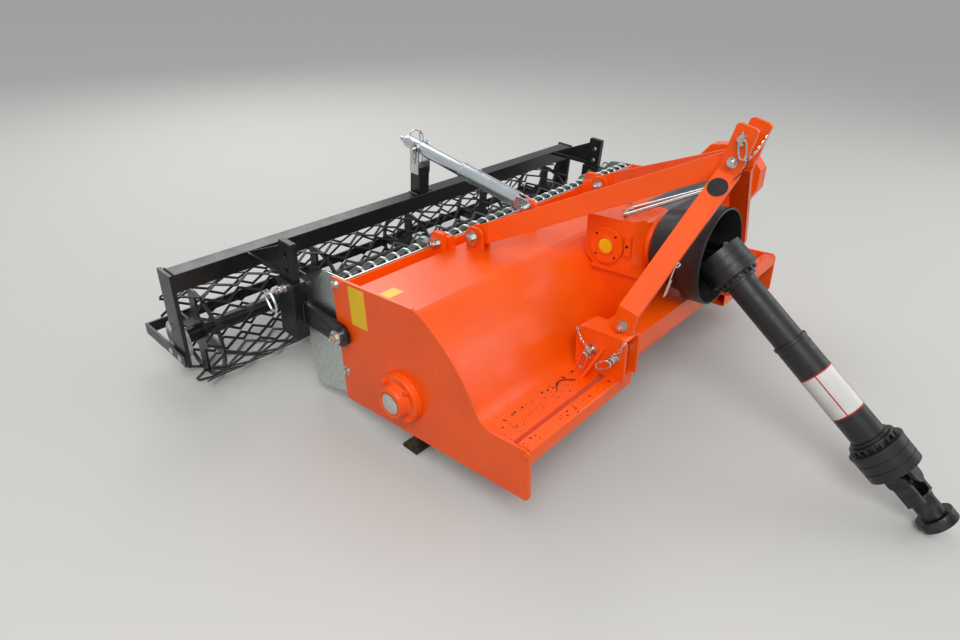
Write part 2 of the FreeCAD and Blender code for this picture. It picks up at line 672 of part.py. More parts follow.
# A block under the level foot of the leaning bars.
below_outline = [
    polar(0, 0, size("BracketTop"), -size("MastLean")), polar(0, 0, size("BracketTop"), -90),
    polar(0, 0, size("BracketTop"), 180 - size("MastLean")),
]
pin_tools = [
    plate("BelowMast", "YZ", below_outline, "- 2 * BracketCentre", "4 * BracketCentre"),
    rod("MastHoleTop", "x", ("- BracketCentre", "0", "TopPinRise"), "2 * BracketCentre",
        "TopPinRadius"),
    rod("MastHoleFoot", "x", ("- 2 * BracketCentre", "0", "MastFootBoltRise"), "4 * BracketCentre",
        "MastFootBolt"),
    rod("MastHoleBolt", "x", ("- BracketCentre", "0", "MastBoltRise"), "2 * BracketCentre",
        "MastBoltRadius"),
]
mast_drilled = cut("MastDrilled", mast_bar, *pin_tools)
node("mast_bar_right", LEANING, mast_drilled)
node("mast_bar_left", LEANING, mirror_x("MastMirror", mast_drilled))
top_pin = fuse("TopPin",
               rod("TopPinEnd", "x", ("- MastGap / 2 - MastThick - TopPinOut", "0", "TopPinRise"),
                   "TopPinOut", "TopPinRadius - TopPinStep"),
               rod("TopPinHeld", "x", ("- MastGap / 2 - MastThick", "0", "TopPinRise"),
                   "MastGap + 2 * MastThick + TopPinOut", "TopPinRadius"))
mast_bolt = rod("MastBolt", "x", ("- MastGap / 2 - MastThick - 12", "0", "MastBoltRise"),
                "MastGap + 2 * MastThick + 24", "MastBoltRadius")
node("top_link_pin", LEANING, top_pin)
foot_bolts = [
    rod("FootBolt" + side, "x", ("%d * BracketCentre - 24" % sign, "0", "MastFootBoltRise"), "48",
        "MastFootBolt")
    for side, sign in SIDES
]
node("mast_bolt", LEANING, mast_bolt, *foot_bolts)

bolt_y, bolt_z = on_mast(size("MastBoltRise"))
brace_in = size("MastGap") / 2 - size("BraceThick") / 2
brace_out = size("BracketCentre")
brace_start = bolt_y - 26
brace_bend = bolt_y + size("MastWide") / 2 + 14
brace_last = size("BraceEarY") - size("EarLong") / 2 - 10
brace_end = size("BraceEarY") + 26
fall = (size("BraceEarZ") - bolt_z) / (size("BraceEarY") - bolt_y)
spread = math.atan2(brace_out - brace_in, brace_last - brace_bend)
side_half = size("BraceThick") / 2
corner = side_half * math.tan(spread / 2)
brace_plan = [
    (brace_in - side_half, brace_start), (brace_in - side_half, brace_bend + corner),
    (brace_out - side_half, brace_last + corner), (brace_out - side_half, brace_end),
    (brace_out + side_half, brace_end), (brace_out + side_half, brace_last - corner),
    (brace_in + side_half, brace_bend - corner), (brace_in + side_half, brace_start),
]
wide_half = size("BraceWide") / 2


def brace_line(y, offset):
    """A point on the brace's edge seen from the side."""
    return (y, bolt_z + (y - bolt_y) * fall + offset)


brace_side = [
    brace_line(brace_start, -wide_half), brace_line(brace_start, wide_half),
    brace_line(brace_end, wide_half), brace_line(brace_end, -wide_half),
]
brace_strip = plate("BraceStrip", "XY", brace_plan, "BracketTop", "2 * BraceEarZ")
brace_slab = plate("BraceSlab", "YZ", brace_side, "0", "2 * BracketCentre")
brace_bar = common("BraceBar", brace_strip, brace_slab)
brace_holes = []
for name, y, z, radius in (("Front", bolt_y, bolt_z, "MastBoltRadius"),
                           ("Rear", size("BraceEarY"), size("BraceEarZ"), "MastBoltRadius")):
    brace_holes.append(rod("BraceHole" + name, "x", ("0", str(y), str(z)), "2 * BracketCentre", radius))
brace_left = cut("BraceLeft", brace_bar, *brace_holes)
braces = {"right": mirror_x("BraceMirror", brace_left), "left": brace_left}

ear_low = size("PlateHeight") - size("HoodDrop")
ear_half = size("EarLong") / 2


def ear_outline(y, low=ear_low):
    """An ear on the hood with a round head."""
    top = size("EarTop")
    return [
        (y - ear_half, low), (y - ear_half, top - 20), ("arc", (y - ear_half + 6, top - 6), (y - 12, top)),
        (y + 12, top), ("arc", (y + ear_half - 6, top - 6), (y + ear_half, top - 20)), (y + ear_half, low),
    ]


ears = []
ear_bolts = []
ear_hole = (size("BraceEarY"), size("BraceEarZ"), size("MastBoltRadius"))
for side, sign in SIDES:
    node("brace_" + side, ON_MACHINE, braces[side])
    for name, offset in (("Outer", "- EarThick - 9"), ("Inner", "+ 9")):
        ears.append(plate("Ear" + name + side, "YZ", ear_outline(size("BraceEarY")),
                          "%d * BracketCentre %s" % (sign, offset), "EarThick", [ear_hole]))
    ear_bolts.append(rod("EarBolt" + side, "x", ("%d * BracketCentre - 28" % sign, "BraceEarY",
                                                  "BraceEarZ"), "56", "MastBoltRadius"))
adjuster_hole = (size("AdjusterEarY"), size("AdjusterEarZ"), size("AdjusterPin"))
ears.append(plate("AdjusterEar", "YZ", ear_outline(size("AdjusterEarY")), "AdjusterX - 6", "12",
                  [adjuster_hole]))
node("hood_ears", ON_MACHINE, *ears)
node("brace_bolts", ON_MACHINE, *ear_bolts)
node("adjuster_front_pin", ON_MACHINE,
     rod("AdjusterFrontPin", "x", ("AdjusterX - 30", "AdjusterEarY", "AdjusterEarZ"), "60", "AdjusterPin"))

# Gearbox on its stand, the guard round its shaft and the side drive

gear_outline = [
    (size("BoxFront"), size("BoxBottom")), (size("BoxFront"), size("BoxTop") - size("BoxChamfer")),
    (size("BoxFront") + size("BoxChamfer"), size("BoxTop")),
    (size("BoxRear") - size("BoxChamfer"), size("BoxTop")),
    (size("BoxRear"), size("BoxTop") - size("BoxChamfer")), (size("BoxRear"), size("BoxBottom") + 26),
    (size("BoxRear") - 26, size("BoxBottom")),
]
gear_side = plate("GearSide", "YZ", gear_outline, "BoxRight", "BoxLeft - BoxRight")
gear_top = [
    (size("BoxRight"), size("BoxRear")), (size("BoxRight"), size("BoxShoulder")),
    (-size("BoxCornerX"), size("BoxCornerY")), (-size("BoxNose"), size("BoxFront")),
    (size("BoxNose"), size("BoxFront")), (size("BoxLeft"), size("BoxShoulder")),
    (size("BoxLeft"), size("BoxRear")),
]
gear_plan = plate("GearPlan", "XY", gear_top, "BoxBottom", "BoxTop - BoxBottom")
gear_block = common("GearBlock", gear_side, gear_plan)
gear_lug = box("GearLug", ("BoxRight - 2", "BoxCornerY", "365"), ("24", "20", "59"))
neck = rod("Neck", "y", ("0", "NeckFront", "DriveZ"), "BoxFront - NeckFront", "NeckRadius")
node("gearbox_housing", ON_MACHINE, fuse("GearHousing", gear_block, gear_lug, neck))
node("gearbox_cover", ON_MACHINE,
     rod("GearCover", "x", ("BoxRight - CoverThick", "CoverY", "CoverZ"), "CoverThick", "CoverRadius"))

stand_top = size("BoxBottom") - size("StandPlate")
arc_radius = size("HoodArcRadius") - size("HoodDrop")
stand_angle = math.degrees(math.asin((stand_top - size("HoodArcZ")) / arc_radius))
stand_rear = polar(size("HoodArcY"), size("HoodArcZ"), arc_radius, 180 - stand_angle)
web_outline = [(size("ChannelRear"), shelf_top), (size("ChannelRear"), stand_top), stand_rear,
               (stand_rear[0], shelf_top)]
stand = [box("StandTop", ("BoxRight - 8", "ChannelRear - 10", "BoxBottom - StandPlate"),
             ("BoxLeft - BoxRight + 16", "BoxRear - ChannelRear - 16", "StandPlate"))]
for number, start in enumerate(("BoxRight + 4", "- 4", "BoxLeft - 12")):
    stand.append(plate("StandWeb%d" % number, "YZ", web_outline, start, "StandPlate"))
node("gearbox_stand", ON_MACHINE, cut("StandCut", fuse("StandFuse", *stand), below_hood("BelowStand")))

yoke = size("YokeWide")
cross_hole = size("CrossRadius") + size("PinPlay")
reach = size("YokeReach")
hub_long = size("YokeHub")
yoke_long = reach + hub_long


def yoke_shape(ears_along_x):
    """A fork: a hub at its reach behind the joint and two ears that carry the cross."""
    ear = 22
    hub_part = Part.makeCylinder(size("YokeHubRadius"), hub_long, Vector(0, reach, 0), Vector(0, 1, 0))
    arms = Part.makeBox(2 * yoke, reach + hub_long, 2 * ear, Vector(-yoke, 0, -ear))
    eyes = Part.makeCylinder(ear, 2 * yoke, Vector(-yoke, 0, 0), Vector(1, 0, 0))
    inside = Part.makeBox(2 * yoke - 24, reach + ear, 2 * ear + 2, Vector(12 - yoke, -ear, -ear - 1))
    hole = Part.makeCylinder(cross_hole, 2 * yoke + 2, Vector(-yoke - 1, 0, 0), Vector(1, 0, 0))
    shape = arms.fuse([eyes]).cut(inside).fuse([hub_part]).cut(hole).removeSplitter()
    if not ears_along_x:
        shape.rotate(Vector(0, 0, 0), Vector(0, 1, 0), 90)
    return shape


stub_yoke = yoke_shape(True)
stub_long = size("NeckFront") - size("JointY") - yoke_long
stub = Part.makeCylinder(size("SplineRadius"), stub_long, Vector(0, yoke_long, 0), Vector(0, 1, 0))
stub_shape = stub_yoke.fuse([stub]).removeSplitter()
node("gearbox_input_yoke", seat_at(size("JointY"), size("DriveZ"), 0), raw("StubYoke", stub_shape))

guard_wall = size("GuardWall")
guard_outline = [
    (size("GuardRear"), size("NeckRadius")), (size("GuardRear"), size("GuardRearRadius")),
    (size("GuardFront"), size("GuardMouthRadius")),
    (size("GuardFront"), size("GuardMouthRadius") - guard_wall),
    (size("GuardRear") - guard_wall, size("GuardRearRadius") - guard_wall),
    (size("GuardRear") - guard_wall, size("NeckRadius")),
]
guard = turned("Guard", "YZ", guard_outline, (0, 0, size("DriveZ")))
guard.setExpression("Placement.Base.z", cell("DriveZ"))
node("driveline_guard", ON_MACHINE, guard)

node("side_drive_tube", ON_MACHINE,
     rod("SideTube", "x", ("BoxLeft", "SideTubeY", "SideTubeZ"), "HalfWidth - PlateThick - BoxLeft",
         "SideTubeRadius"))
case_outline = [
    (487, 398), (363, 432), (302, 504), (243, 511), (143, 478), (108, 437), (110, 365), (153, 297),
    (300, 60), (350, 22), (470, 22), (520, 70), (520, 200),
]
case_body = plate("CaseBody", "YZ", case_outline, "HalfWidth", "CaseThick")
node("side_drive_case", ON_MACHINE, case_body)
node("side_drive_cover", ON_MACHINE,
     plate("CaseCoverPlate", "YZ", case_outline, "HalfWidth + CaseThick", "CaseCover"))

# The rod hangs on the mast's bolt, passes under the braces and rests on the gearbox.
holder_z = size("BoxTop") + size("HolderRod")
hook_z = bolt_z - size("MastBoltRadius") - size("HolderGap")
dip_y = bolt_y + 22
dip_z = bolt_z - 67
holder_points = [
    Vector(-14, bolt_y, hook_z), Vector(-14, dip_y, dip_z), Vector(-75, 185, holder_z),
    Vector(-15, 200, holder_z), Vector(14, dip_y, dip_z), Vector(14, bolt_y, hook_z),
]


def pipe(points, radius, bend):
    """A round rod bent along its points."""
    edges = []
    here = points[0]
    for before, corner, after in zip(points, points[1:], points[2:]):
        into = (corner - before).normalize()
        out = (after - corner).normalize()
        half_turn = math.acos(max(-1, min(1, into.dot(out)))) / 2
        back = bend * math.tan(half_turn)
        start = corner - into * back
        end = corner + out * back
        inward = (out - into).normalize()
        middle = corner + inward * (bend / math.cos(half_turn) - bend)
        edges.append(Part.LineSegment(here, start).toShape())
        edges.append(Part.Arc(start, middle, end).toShape())
        here = end
    edges.append(Part.LineSegment(here, points[-1]).toShape())
    wire = Part.Wire(edges)
    start_direction = (points[1] - points[0]).normalize()
    ring = Part.Wire([Part.Circle(points[0], start_direction, radius).toShape()])
    return wire.makePipeShell([ring], True, False)


node("driveline_holder", ON_MACHINE, raw("Holder", pipe(holder_points, size("HolderRod"), 16)))

# Bearing flange of the rotor on the right side plate

hub_out = size("HubReach")
hub_outline = [
    (0, size("StubRadius")), (0, size("HubRadius")), (-size("HubThick"), size("HubRadius") - 4),
    (-size("HubThick"), size("HubBoss") + 6), (-hub_out, size("HubBoss")), (-hub_out, size("StubRadius")),
]
hub = turned("Hub", "XY", hub_outline)
hub.setExpression("Placement.Base.x", cell("- HalfWidth"))
hub.setExpression("Placement.Base.y", cell("RotorY"))
hub.setExpression("Placement.Base.z", cell("RotorZ"))
node("rotor_bearing_flange", ON_MACHINE, hub)

# Comb behind the rotor: an angle on the hood, a rod and the tines over it

rail_outline = [
    (size("TroughRear"), 336), (size("TroughRear"), 384), (size("TroughRear") + 6, 384),
    (size("TroughRear") + 6, 336),
]
inside = "HalfWidth - PlateThick - SheetThick"
rail_span = ("- ( " + inside + " )", "2 * ( " + inside + " )")
rail = plate("Rail", "YZ", rail_outline, *rail_span)
node("comb_rail", ON_MACHINE, rail)
node("comb_rod", ON_MACHINE,
     rod("CombRod", "x", ("- ( " + inside + " )", "CombRodY", "CombRodZ"), "2 * ( " + inside + " )",
         "CombRodRadius"))
tine_shapes = []
bend_radius = size("CombRodRadius") + size("CombTineRadius")
tine_count = int(size("CombTines"))
rail_half = size("HalfWidth") - size("PlateThick") - size("SheetThick")
tine_pitch = 2 * (rail_half - size("CombEnd")) / (tine_count - 1)
for number in range(tine_count):
    x = (number - (tine_count - 1) / 2) * tine_pitch
    over = Vector(x, size("CombRodY"), size("CombRodZ"))
    knee = Vector(x, size("CombKneeY"), size("CombKneeZ"))
    tip = Vector(x, size("CombTipY"), size("CombTipZ"))
    points = [over + Vector(0, -bend_radius, -30), over + Vector(0, -bend_radius, bend_radius),
              over + Vector(0, bend_radius, bend_radius), knee, tip]
    tine_shapes.append(pipe(points, size("CombTineRadius"), bend_radius - 0.5))
node("comb_tines", ON_MACHINE, raw("CombTineSet", Part.makeCompound(tine_shapes)))

# Lugs over the trough and the links that hang from them and carry the rod

trough_floor = size("TroughLow") + thick
lug_outline = rounded(
    (hood_rear, trough_floor, 0), (hood_rear, size("LugTop"), 6), (617, size("LugTop"), 12), (617, 384, 0),
    (wall_rear, 384, 0), (wall_rear, trough_top, 0), (wall_rear - thick, trough_top, 0),
    (wall_rear - thick, trough_floor, 0))
block_outline = [
    (hood_rear, trough_floor), (hood_rear, 408), (wall_rear - thick, 400), (wall_rear - thick, trough_floor),
]
link_outline = rounded((617, 345, 0), (617, 406, 18), (662, 406, 24), (662, 345, 12))
lug_bolt = (size("LugBoltY"), size("LugBoltZ"), size("MastFootBolt"))
rod_hole = (size("CombRodY"), size("CombRodZ"), size("CombRodRadius"))
lugs = []
links = []
for side, sign in SIDES:
    lugs.append(plate("Lug" + side, "YZ", lug_outline, "%d * LugX - 10" % sign, "20", [lug_bolt]))
    lugs.append(plate("LugBlock" + side, "YZ", block_outline, "%d * ( LugX - 28 ) - 14" % sign, "28"))
    links.append(plate("Link" + side, "YZ", link_outline, "%d * ( LugX + 21 ) - 7" % sign, "14", [rod_hole]))
    links.append(rod("LugBolt" + side, "x", ("%d * LugX - 10" % sign, "LugBoltY", "LugBoltZ"), "20",
                     "MastFootBolt"))
node("comb_lugs", ON_MACHINE, *lugs)
node("comb_links", ON_MACHINE, *links)

# Rotor

rotor_half = size("HalfWidth") - size("PlateThick") - size("SideGap")
shaft_outline = [
    (-size("HalfWidth") - hub_out + 4, 0), (-size("HalfWidth") - hub_out + 4, size("StubRadius") - 0.3),
    (-rotor_half, size("StubRadius") - 0.3), (-rotor_half, size("RotorTube")),
    (rotor_half, size("RotorTube")), (rotor_half, size("StubRadius") - 0.3),
    (size("HalfWidth") - 0.3, size("StubRadius") - 0.3), (size("HalfWidth") - 0.3, 0),
]
node("rotor_shaft", ON_ROTOR, turned("RotorShaft", "XY", shaft_outline))


def tine_blade(x, turn, sign):
    """One blade: a flat bar out from the flange and a foot bent to one side."""
    wide = size("TineWide")
    thick = size("TineThick")
    low = x if sign > 0 else x - thick
    shank = Part.makeBox(thick, wide, size("RotorRadius") - 62, Vector(low, -wide / 2, 62))
    foot_low = low if sign > 0 else x - size("TineFoot")
    foot = Part.makeBox(size("TineFoot"), wide, thick, Vector(foot_low, -wide / 2,
                                                              size("RotorRadius") - thick))
    blade = shank.fuse([foot]).removeSplitter()
    blade.rotate(Vector(0, 0, 0), Vector(1, 0, 0), turn)
    return blade


flange_count = int(size("RotorFlanges"))
rotor_span = 2 * (size("HalfWidth") - size("RotorEnd"))
flange_step = rotor_span / (flange_count - 1)
rotor_pieces = []
for number in range(flange_count):
    x = -rotor_span / 2 + number * flange_step
    phase = min(number, flange_count - 1 - number) * 22.5
    disc = Part.makeCylinder(size("RotorPlate"), 10, Vector(x - 5, 0, 0), Vector(1, 0, 0))
    disc = disc.cut(Part.makeCylinder(size("RotorTube"), 12, Vector(x - 6, 0, 0), Vector(1, 0, 0)))
    blades = []
    for quarter in range(4):
        sign = 1 if quarter % 2 else -1
        blades.append(tine_blade(x + 5 * sign, 180 + phase + 90 * quarter, sign))
    rotor_pieces.append(disc.fuse(blades).removeSplitter())
node("rotor_tines", ON_ROTOR, raw("RotorTineSet", Part.makeCompound(rotor_pieces)))

# Arms of the roller frame, drawn along the frame from the arm pivot

arm_half = size("ArmWide") / 2
arm_outline = [
    (0, -arm_half), (size("SleeveFront"), -arm_half), (size("SleeveFront"), arm_half), (0, arm_half),
    ("arc", (-arm_half, 0), (0, -arm_half)),
]
pivot_hole = (0, 0, size("ArmBolt") + size("PinPlay"))
arm_bolts = []
height_pins = []
for side, sign in SIDES:
    if sign < 0:
        arm_start = "- HalfWidth - SideGap - ArmThick"
        sleeve_start = "- HalfWidth - SideGap - SleeveWide"
        bolt_start = "- HalfWidth - SideGap - ArmThick - 1"
        washer_start = "- HalfWidth - SideGap + 0.3"
        head_start = "- HalfWidth - SideGap - ArmThick - 11"
    else:
        arm_start = "HalfWidth + SideGap"
        sleeve_start = "HalfWidth + SideGap"
        bolt_start = "HalfWidth - PlateThick - SheetThick"
        washer_start = "HalfWidth"
        head_start = "HalfWidth + SideGap + ArmThick + 0.3"
    arm = plate("Arm" + side, "YZ", arm_outline, arm_start, "ArmThick", [pivot_hole])
    sleeve_outer = box("SleeveOuter" + side, (sleeve_start, "SleeveFront", "SleeveLow"),
                       ("SleeveWide", "SleeveLong", "SleeveTop - SleeveLow"))
    sleeve_inner = box("SleeveInner" + side,
                       (sleeve_start + " + SleeveWall", "SleeveFront + SleeveEnd", "SleeveLow"),
                       ("SleeveWide - 2 * SleeveWall", "SleeveLong - 2 * SleeveEnd",
                        "SleeveTop - SleeveLow"))
    pin_hole = rod("PinHole" + side, "x", (sleeve_start + " - 5", "SleeveFront + SleeveLong / 2",
                                           "HeightPinUp"), "SleeveWide + 10", "HeightPin")
    sleeve = cut("Sleeve" + side, sleeve_outer, sleeve_inner, pin_hole)
    node("roller_arm_" + side, ON_FRAME, fuse("ArmFuse" + side, arm, sleeve))
    post = box("Post" + side, (sleeve_start + " + SleeveWall + PostGap",
                               "SleeveFront + SleeveEnd + PostGap", "PostLow"),
               ("SleeveWide - 2 * SleeveWall - 2 * PostGap", "SleeveLong - 2 * SleeveEnd - 2 * PostGap",
                "PostTop - PostLow"))
    post_holes = [
        rod("PostHole%s%d" % (side, step), "x",
            (sleeve_start + " - 5", "SleeveFront + SleeveLong / 2", "HeightPinUp + %d * PostStep" % step),
            "SleeveWide + 10", "HeightPin")
        for step in (-1, 0, 1, 2)
    ]
    node("roller_post_" + side, ON_FRAME, cut("PostCut" + side, post, *post_holes))
    pin_start = " - 22" if sign < 0 else " - 4"
    height_pins.append(rod("HeightPin" + side, "x", (sleeve_start + pin_start,
                                                     "SleeveFront + SleeveLong / 2", "HeightPinUp"),
                           "SleeveWide + 26", "HeightPin"))
    arm_bolts.append(fuse(
        "ArmBolt" + side,
        rod("BoltShank" + side, "x", (bolt_start, "ArmPivotY", "ArmPivotZ"),
            "PlateThick + SheetThick + SideGap + ArmThick + 1", "ArmBolt"),
        rod("BoltWasher" + side, "x", (washer_start, "ArmPivotY", "ArmPivotZ"), "SideGap - 0.3", "20"),
        rod("BoltHead" + side, "x", (head_start, "ArmPivotY", "ArmPivotZ"), "10.7", "17")))
node("arm_pivot_bolts", ON_MACHINE, *arm_bolts)
node("height_pins", ON_FRAME, *height_pins)

# Roller beam with its struts, end plates, bearings and scraper

beam_outer = box("BeamOuter", ("RollerRight + EndPlateThick", "BeamFront", "BeamTop - BeamTall"),
                 ("RollerLeft - RollerRight - 2 * EndPlateThick", "BeamDeep", "BeamTall"))
beam_inner = box("BeamInner", ("RollerRight + EndPlateThick", "BeamFront + BeamWall",
                               "BeamTop - BeamTall + BeamWall"),
                 ("RollerLeft - RollerRight - 2 * EndPlateThick", "BeamDeep - 2 * BeamWall",
                  "BeamTall - 2 * BeamWall"))
node("roller_beam", ON_FRAME, cut("Beam", beam_outer, beam_inner))

strut_thick = 12
post_rear = size("SleeveFront") + size("SleeveLong") - size("SleeveEnd") - size("PostGap")
strut_low = size("SleeveTop") + 1
strut_outline = [
    (post_rear, strut_low), (post_rear, strut_low + strut_thick), (size("BeamFront"), size("BeamTop")),
    (size("BeamFront"), size("BeamTop") - strut_thick),
]
gusset_outline = [
    (post_rear, strut_low + strut_thick), (post_rear, size("PostTop") - 16),
    (size("BeamFront"), size("BeamTop")),
]
struts = []
for side, sign in SIDES:
    middle = "%d * ( HalfWidth + SideGap + SleeveWide / 2 )" % sign
    struts.append(fuse("Strut" + side,
                       plate("StrutBar" + side, "YZ", strut_outline, middle + " - 10", "20"),
                       plate("StrutWeb" + side, "YZ", gusset_outline, middle + " - 4", "8")))
node("beam_struts", ON_FRAME, *struts)

end_outline = [
    (size("EndPlateFront"), size("EndPlateLow")), (size("EndPlateFront"), size("BeamTop")),
    (size("EndPlateFront") + size("EndPlateWide"), size("BeamTop")),
    (size("EndPlateFront") + size("EndPlateWide"), size("EndPlateLow")),
]
bearings = []
scraper = []
for side, sign in SIDES:
    if sign < 0:
        end_start = "RollerRight"
        bearing_start = "RollerRight + EndPlateThick"
        scraper_start = "RollerRight - ScraperThick"
    else:
        end_start = "RollerLeft - EndPlateThick"
        bearing_start = "RollerLeft - EndPlateThick - BearingThick"
        scraper_start = "RollerLeft"
    node("roller_end_plate_" + side, ON_FRAME,
         plate("EndPlate" + side, "YZ", end_outline, end_start, "EndPlateThick"))
    flange = rod("BearingBody" + side, "x", (bearing_start, "DrumForward", "DrumDown"), "BearingThick",
                 "BearingRadius")
    bore = rod("BearingBore" + side, "x", (bearing_start + " - 2", "DrumForward", "DrumDown"),
               "BearingThick + 4", "AxleRadius + PinPlay")
    bearings.append(cut("Bearing" + side, flange, bore))
    scraper.append(box("ScraperArm" + side, (scraper_start, "EndPlateFront", "ScraperLow"),
                       ("ScraperThick", "ScraperRear - EndPlateFront", "ScraperTall")))
node("roller_bearings", ON_FRAME, *bearings)
bar = box("ScraperBar", ("RollerRight - ScraperThick", "ScraperRear - ScraperThick", "ScraperLow"),
          ("RollerLeft - RollerRight + 2 * ScraperThick", "ScraperThick", "ScraperTall"))
node("roller_scraper", ON_FRAME, fuse("Scraper", bar, *scraper))

# Post for the adjuster on the beam, and its rear pin

eye_forward = size("AdjusterEyeForward")
eye_up = size("AdjusterEyeUp")
clevis_low = size("BeamTop") + size("PostRise")
cheek_outline = [
    (eye_forward - 22, clevis_low - 26), (eye_forward - 22, eye_up + 8),
    ("arc", (eye_forward, eye_up + 26), (eye_forward + 22, eye_up + 8)),
    (eye_forward + 22, clevis_low - 26),
]
eye_hole = (eye_forward, eye_up, size("AdjusterPin"))
node("adjuster_post", ON_FRAME,
     box("AdjusterPost", ("AdjusterX - AdjusterInner - 1", "AdjusterEyeForward - 24", "BeamTop"),
         ("2 * AdjusterInner + 2", "48", "PostRise")))
node("adjuster_clevis", ON_FRAME,
     plate("CheekRight", "YZ", cheek_outline, "AdjusterX - AdjusterInner - 7", "6", [eye_hole]),
     plate("CheekLeft", "YZ", cheek_outline, "AdjusterX + AdjusterInner + 1", "6", [eye_hole]))
node("adjuster_rear_pin", ON_FRAME,
     rod("AdjusterRearPin", "x", ("AdjusterX - AdjusterInner - 20", "AdjusterEyeForward",
                                  "AdjusterEyeUp"), "2 * AdjusterInner + 40", "AdjusterPin"))

# Mesh roller: zigzag rows of strands round an axle with discs

strip_turn = 360 / size("DrumStrips")
inner_flat = size("DrumRadius") - size("DrumStrand")
row_half = inner_flat * math.tan(math.radians(strip_turn / 2)) - 0.4
drum_start = size("RollerRight") + size("EndPlateThick") + size("DrumGap")
drum_end = size("RollerLeft") - size("EndPlateThick") - size("DrumGap")
mesh_pitch = (drum_end - drum_start) / size("DrumDiamonds")
strand = size("StrandWide")


def mesh_row(flip):
    """One row of the mesh at the bottom of the drum: a zigzag strand as long as the drum."""
    count = 2 * int(size("DrumDiamonds"))
    upper = []
    lower = []
    for number in range(count + 1):
        x = drum_start + number * mesh_pitch / 2
        high = (number + flip) % 2
        upper.append((x, row_half if high else strand - row_half))
        lower.append((x, row_half - strand if high else -row_half))
    points = [Vector(x, y, -size("DrumRadius")) for x, y in upper + lower[::-1]]
    face = Part.Face(Part.makePolygon(points + points[:1]))
    return face.extrude(Vector(0, 0, size("DrumStrand")))


rows = []
for number in range(int(size("DrumStrips"))):
    turned_row = mesh_row(number % 2)
    turned_row.rotate(Vector(0, 0, 0), Vector(1, 0, 0), number * strip_turn)
    rows.append(turned_row)
node("roller_mesh", ON_DRUM, raw("RollerMesh", Part.makeCompound(rows)))

corner_radius = inner_flat / math.cos(math.radians(strip_turn / 2))
corners = [polar(0, 0, corner_radius, -90 + strip_turn / 2 + number * strip_turn)
           for number in range(int(size("DrumStrips")))]
disc_points = [Vector(0, y, z) for y, z in corners]
disc_thick = size("DiscThick")
rim_radius = inner_flat - size("WheelRim")
wheel = Part.Face(Part.makePolygon(disc_points + disc_points[:1])).extrude(Vector(disc_thick, 0, 0))
wheel = wheel.cut(Part.makeCylinder(rim_radius, disc_thick, Vector(0, 0, 0), Vector(1, 0, 0)))
spoke_long = 2 * rim_radius + 4
spoke_wide = size("WheelSpoke")
spokes = [
    Part.makeCylinder(size("WheelHub"), disc_thick, Vector(0, 0, 0), Vector(1, 0, 0)),
    Part.makeBox(disc_thick, spoke_long, spoke_wide, Vector(0, -spoke_long / 2, -spoke_wide / 2)),
    Part.makeBox(disc_thick, spoke_wide, spoke_long, Vector(0, -spoke_wide / 2, -spoke_long / 2)),
]
wheel = wheel.fuse(spokes).removeSplitter()
axle_short = size("EndPlateThick") + 3
core = [Part.makeCylinder(size("AxleRadius"), size("RollerLeft") - size("RollerRight") - 2 * axle_short,
                          Vector(size("RollerRight") + axle_short, 0, 0), Vector(1, 0, 0))]
wheel_count = 5
inset = size("WheelInset")
for number in range(wheel_count):
    x = drum_start + inset + number * (drum_end - drum_start - 2 * inset - disc_thick) / (wheel_count - 1)
    core.append(wheel.translated(Vector(x, 0, 0)))
node("roller_core", ON_DRUM, raw("RollerCore", core[0].fuse(core[1:]).removeSplitter()))

# Adjuster, drawn along itself from its front pin

fork_half = 20
adjuster_x = size("AdjusterX")
outer_radius = size("AdjusterRadius")
outer_tube = Part.makeCylinder(outer_radius, size("AdjusterLong") - 40, Vector(adjuster_x, 40, 0),
                               Vector(0, 1, 0))
outer_bore = Part.makeCylinder(outer_radius - size("AdjusterWall"), size("AdjusterLong") - 52,
                               Vector(adjuster_x, 52, 0), Vector(0, 1, 0))
fork_tabs = []
for low in (adjuster_x - 15, adjuster_x + 7):
    tab = Part.makeBox(8, 52, 2 * fork_half, Vector(low, 0, -fork_half))
    eye = Part.makeCylinder(fork_half, 8, Vector(low, 0, 0), Vector(1, 0, 0))
    fork_tabs.append(tab.fuse([eye]))
fork_hole = Part.makeCylinder(size("AdjusterPin") + size("PinPlay"), 80,
                              Vector(adjuster_x - 40, 0, 0), Vector(1, 0, 0))
outer = outer_tube.fuse(fork_tabs).cut(outer_bore).cut(fork_hole).removeSplitter()
node("adjuster_outer_tube", ON_ADJUSTER, raw("AdjusterOuter", outer))
inner_start = adjuster_reach - size("AdjusterInnerLong")
inner_long = size("AdjusterInnerLong") + size("AdjusterTail")
inner = Part.makeCylinder(size("AdjusterInner"), inner_long,
                          Vector(adjuster_x, inner_start, 0), Vector(0, 1, 0))
inner = inner.cut(Part.makeCylinder(size("AdjusterInner") - size("AdjusterWall"), inner_long,
                                    Vector(adjuster_x, inner_start, 0), Vector(0, 1, 0)))
slot = Part.makeCylinder(size("AdjusterPin") + 1.5, 80, Vector(adjuster_x - 40, adjuster_reach, 0),
                         Vector(1, 0, 0))
node("adjuster_inner_tube", ON_ADJUSTER, raw("AdjusterInnerTube", inner.cut(slot)))

# Driveline, drawn forwards along itself from its rear joint


def cross_shape(y):
    """The cross of a joint: a core and two crossed pins."""
    pin_long = 2 * yoke
    core_block = Part.makeBox(30, 30, 30, Vector(-15, y - 15, -15))
    arm_x = Part.makeCylinder(size("CrossRadius"), pin_long, Vector(-yoke, y, 0), Vector(1, 0, 0))
    arm_z = Part.makeCylinder(size("CrossRadius"), pin_long, Vector(0, y, -yoke), Vector(0, 0, 1))
    return core_block.fuse([arm_x, arm_z])


def facing_front(shape, y):
    """A yoke drawn to the rear, turned to face the front, its joint at y."""
    turned_shape = shape.copy()
    turned_shape.rotate(Vector(0, 0, 0), Vector(0, 0, 1), 180)
    turned_shape.translate(Vector(0, y, 0))
    return turned_shape


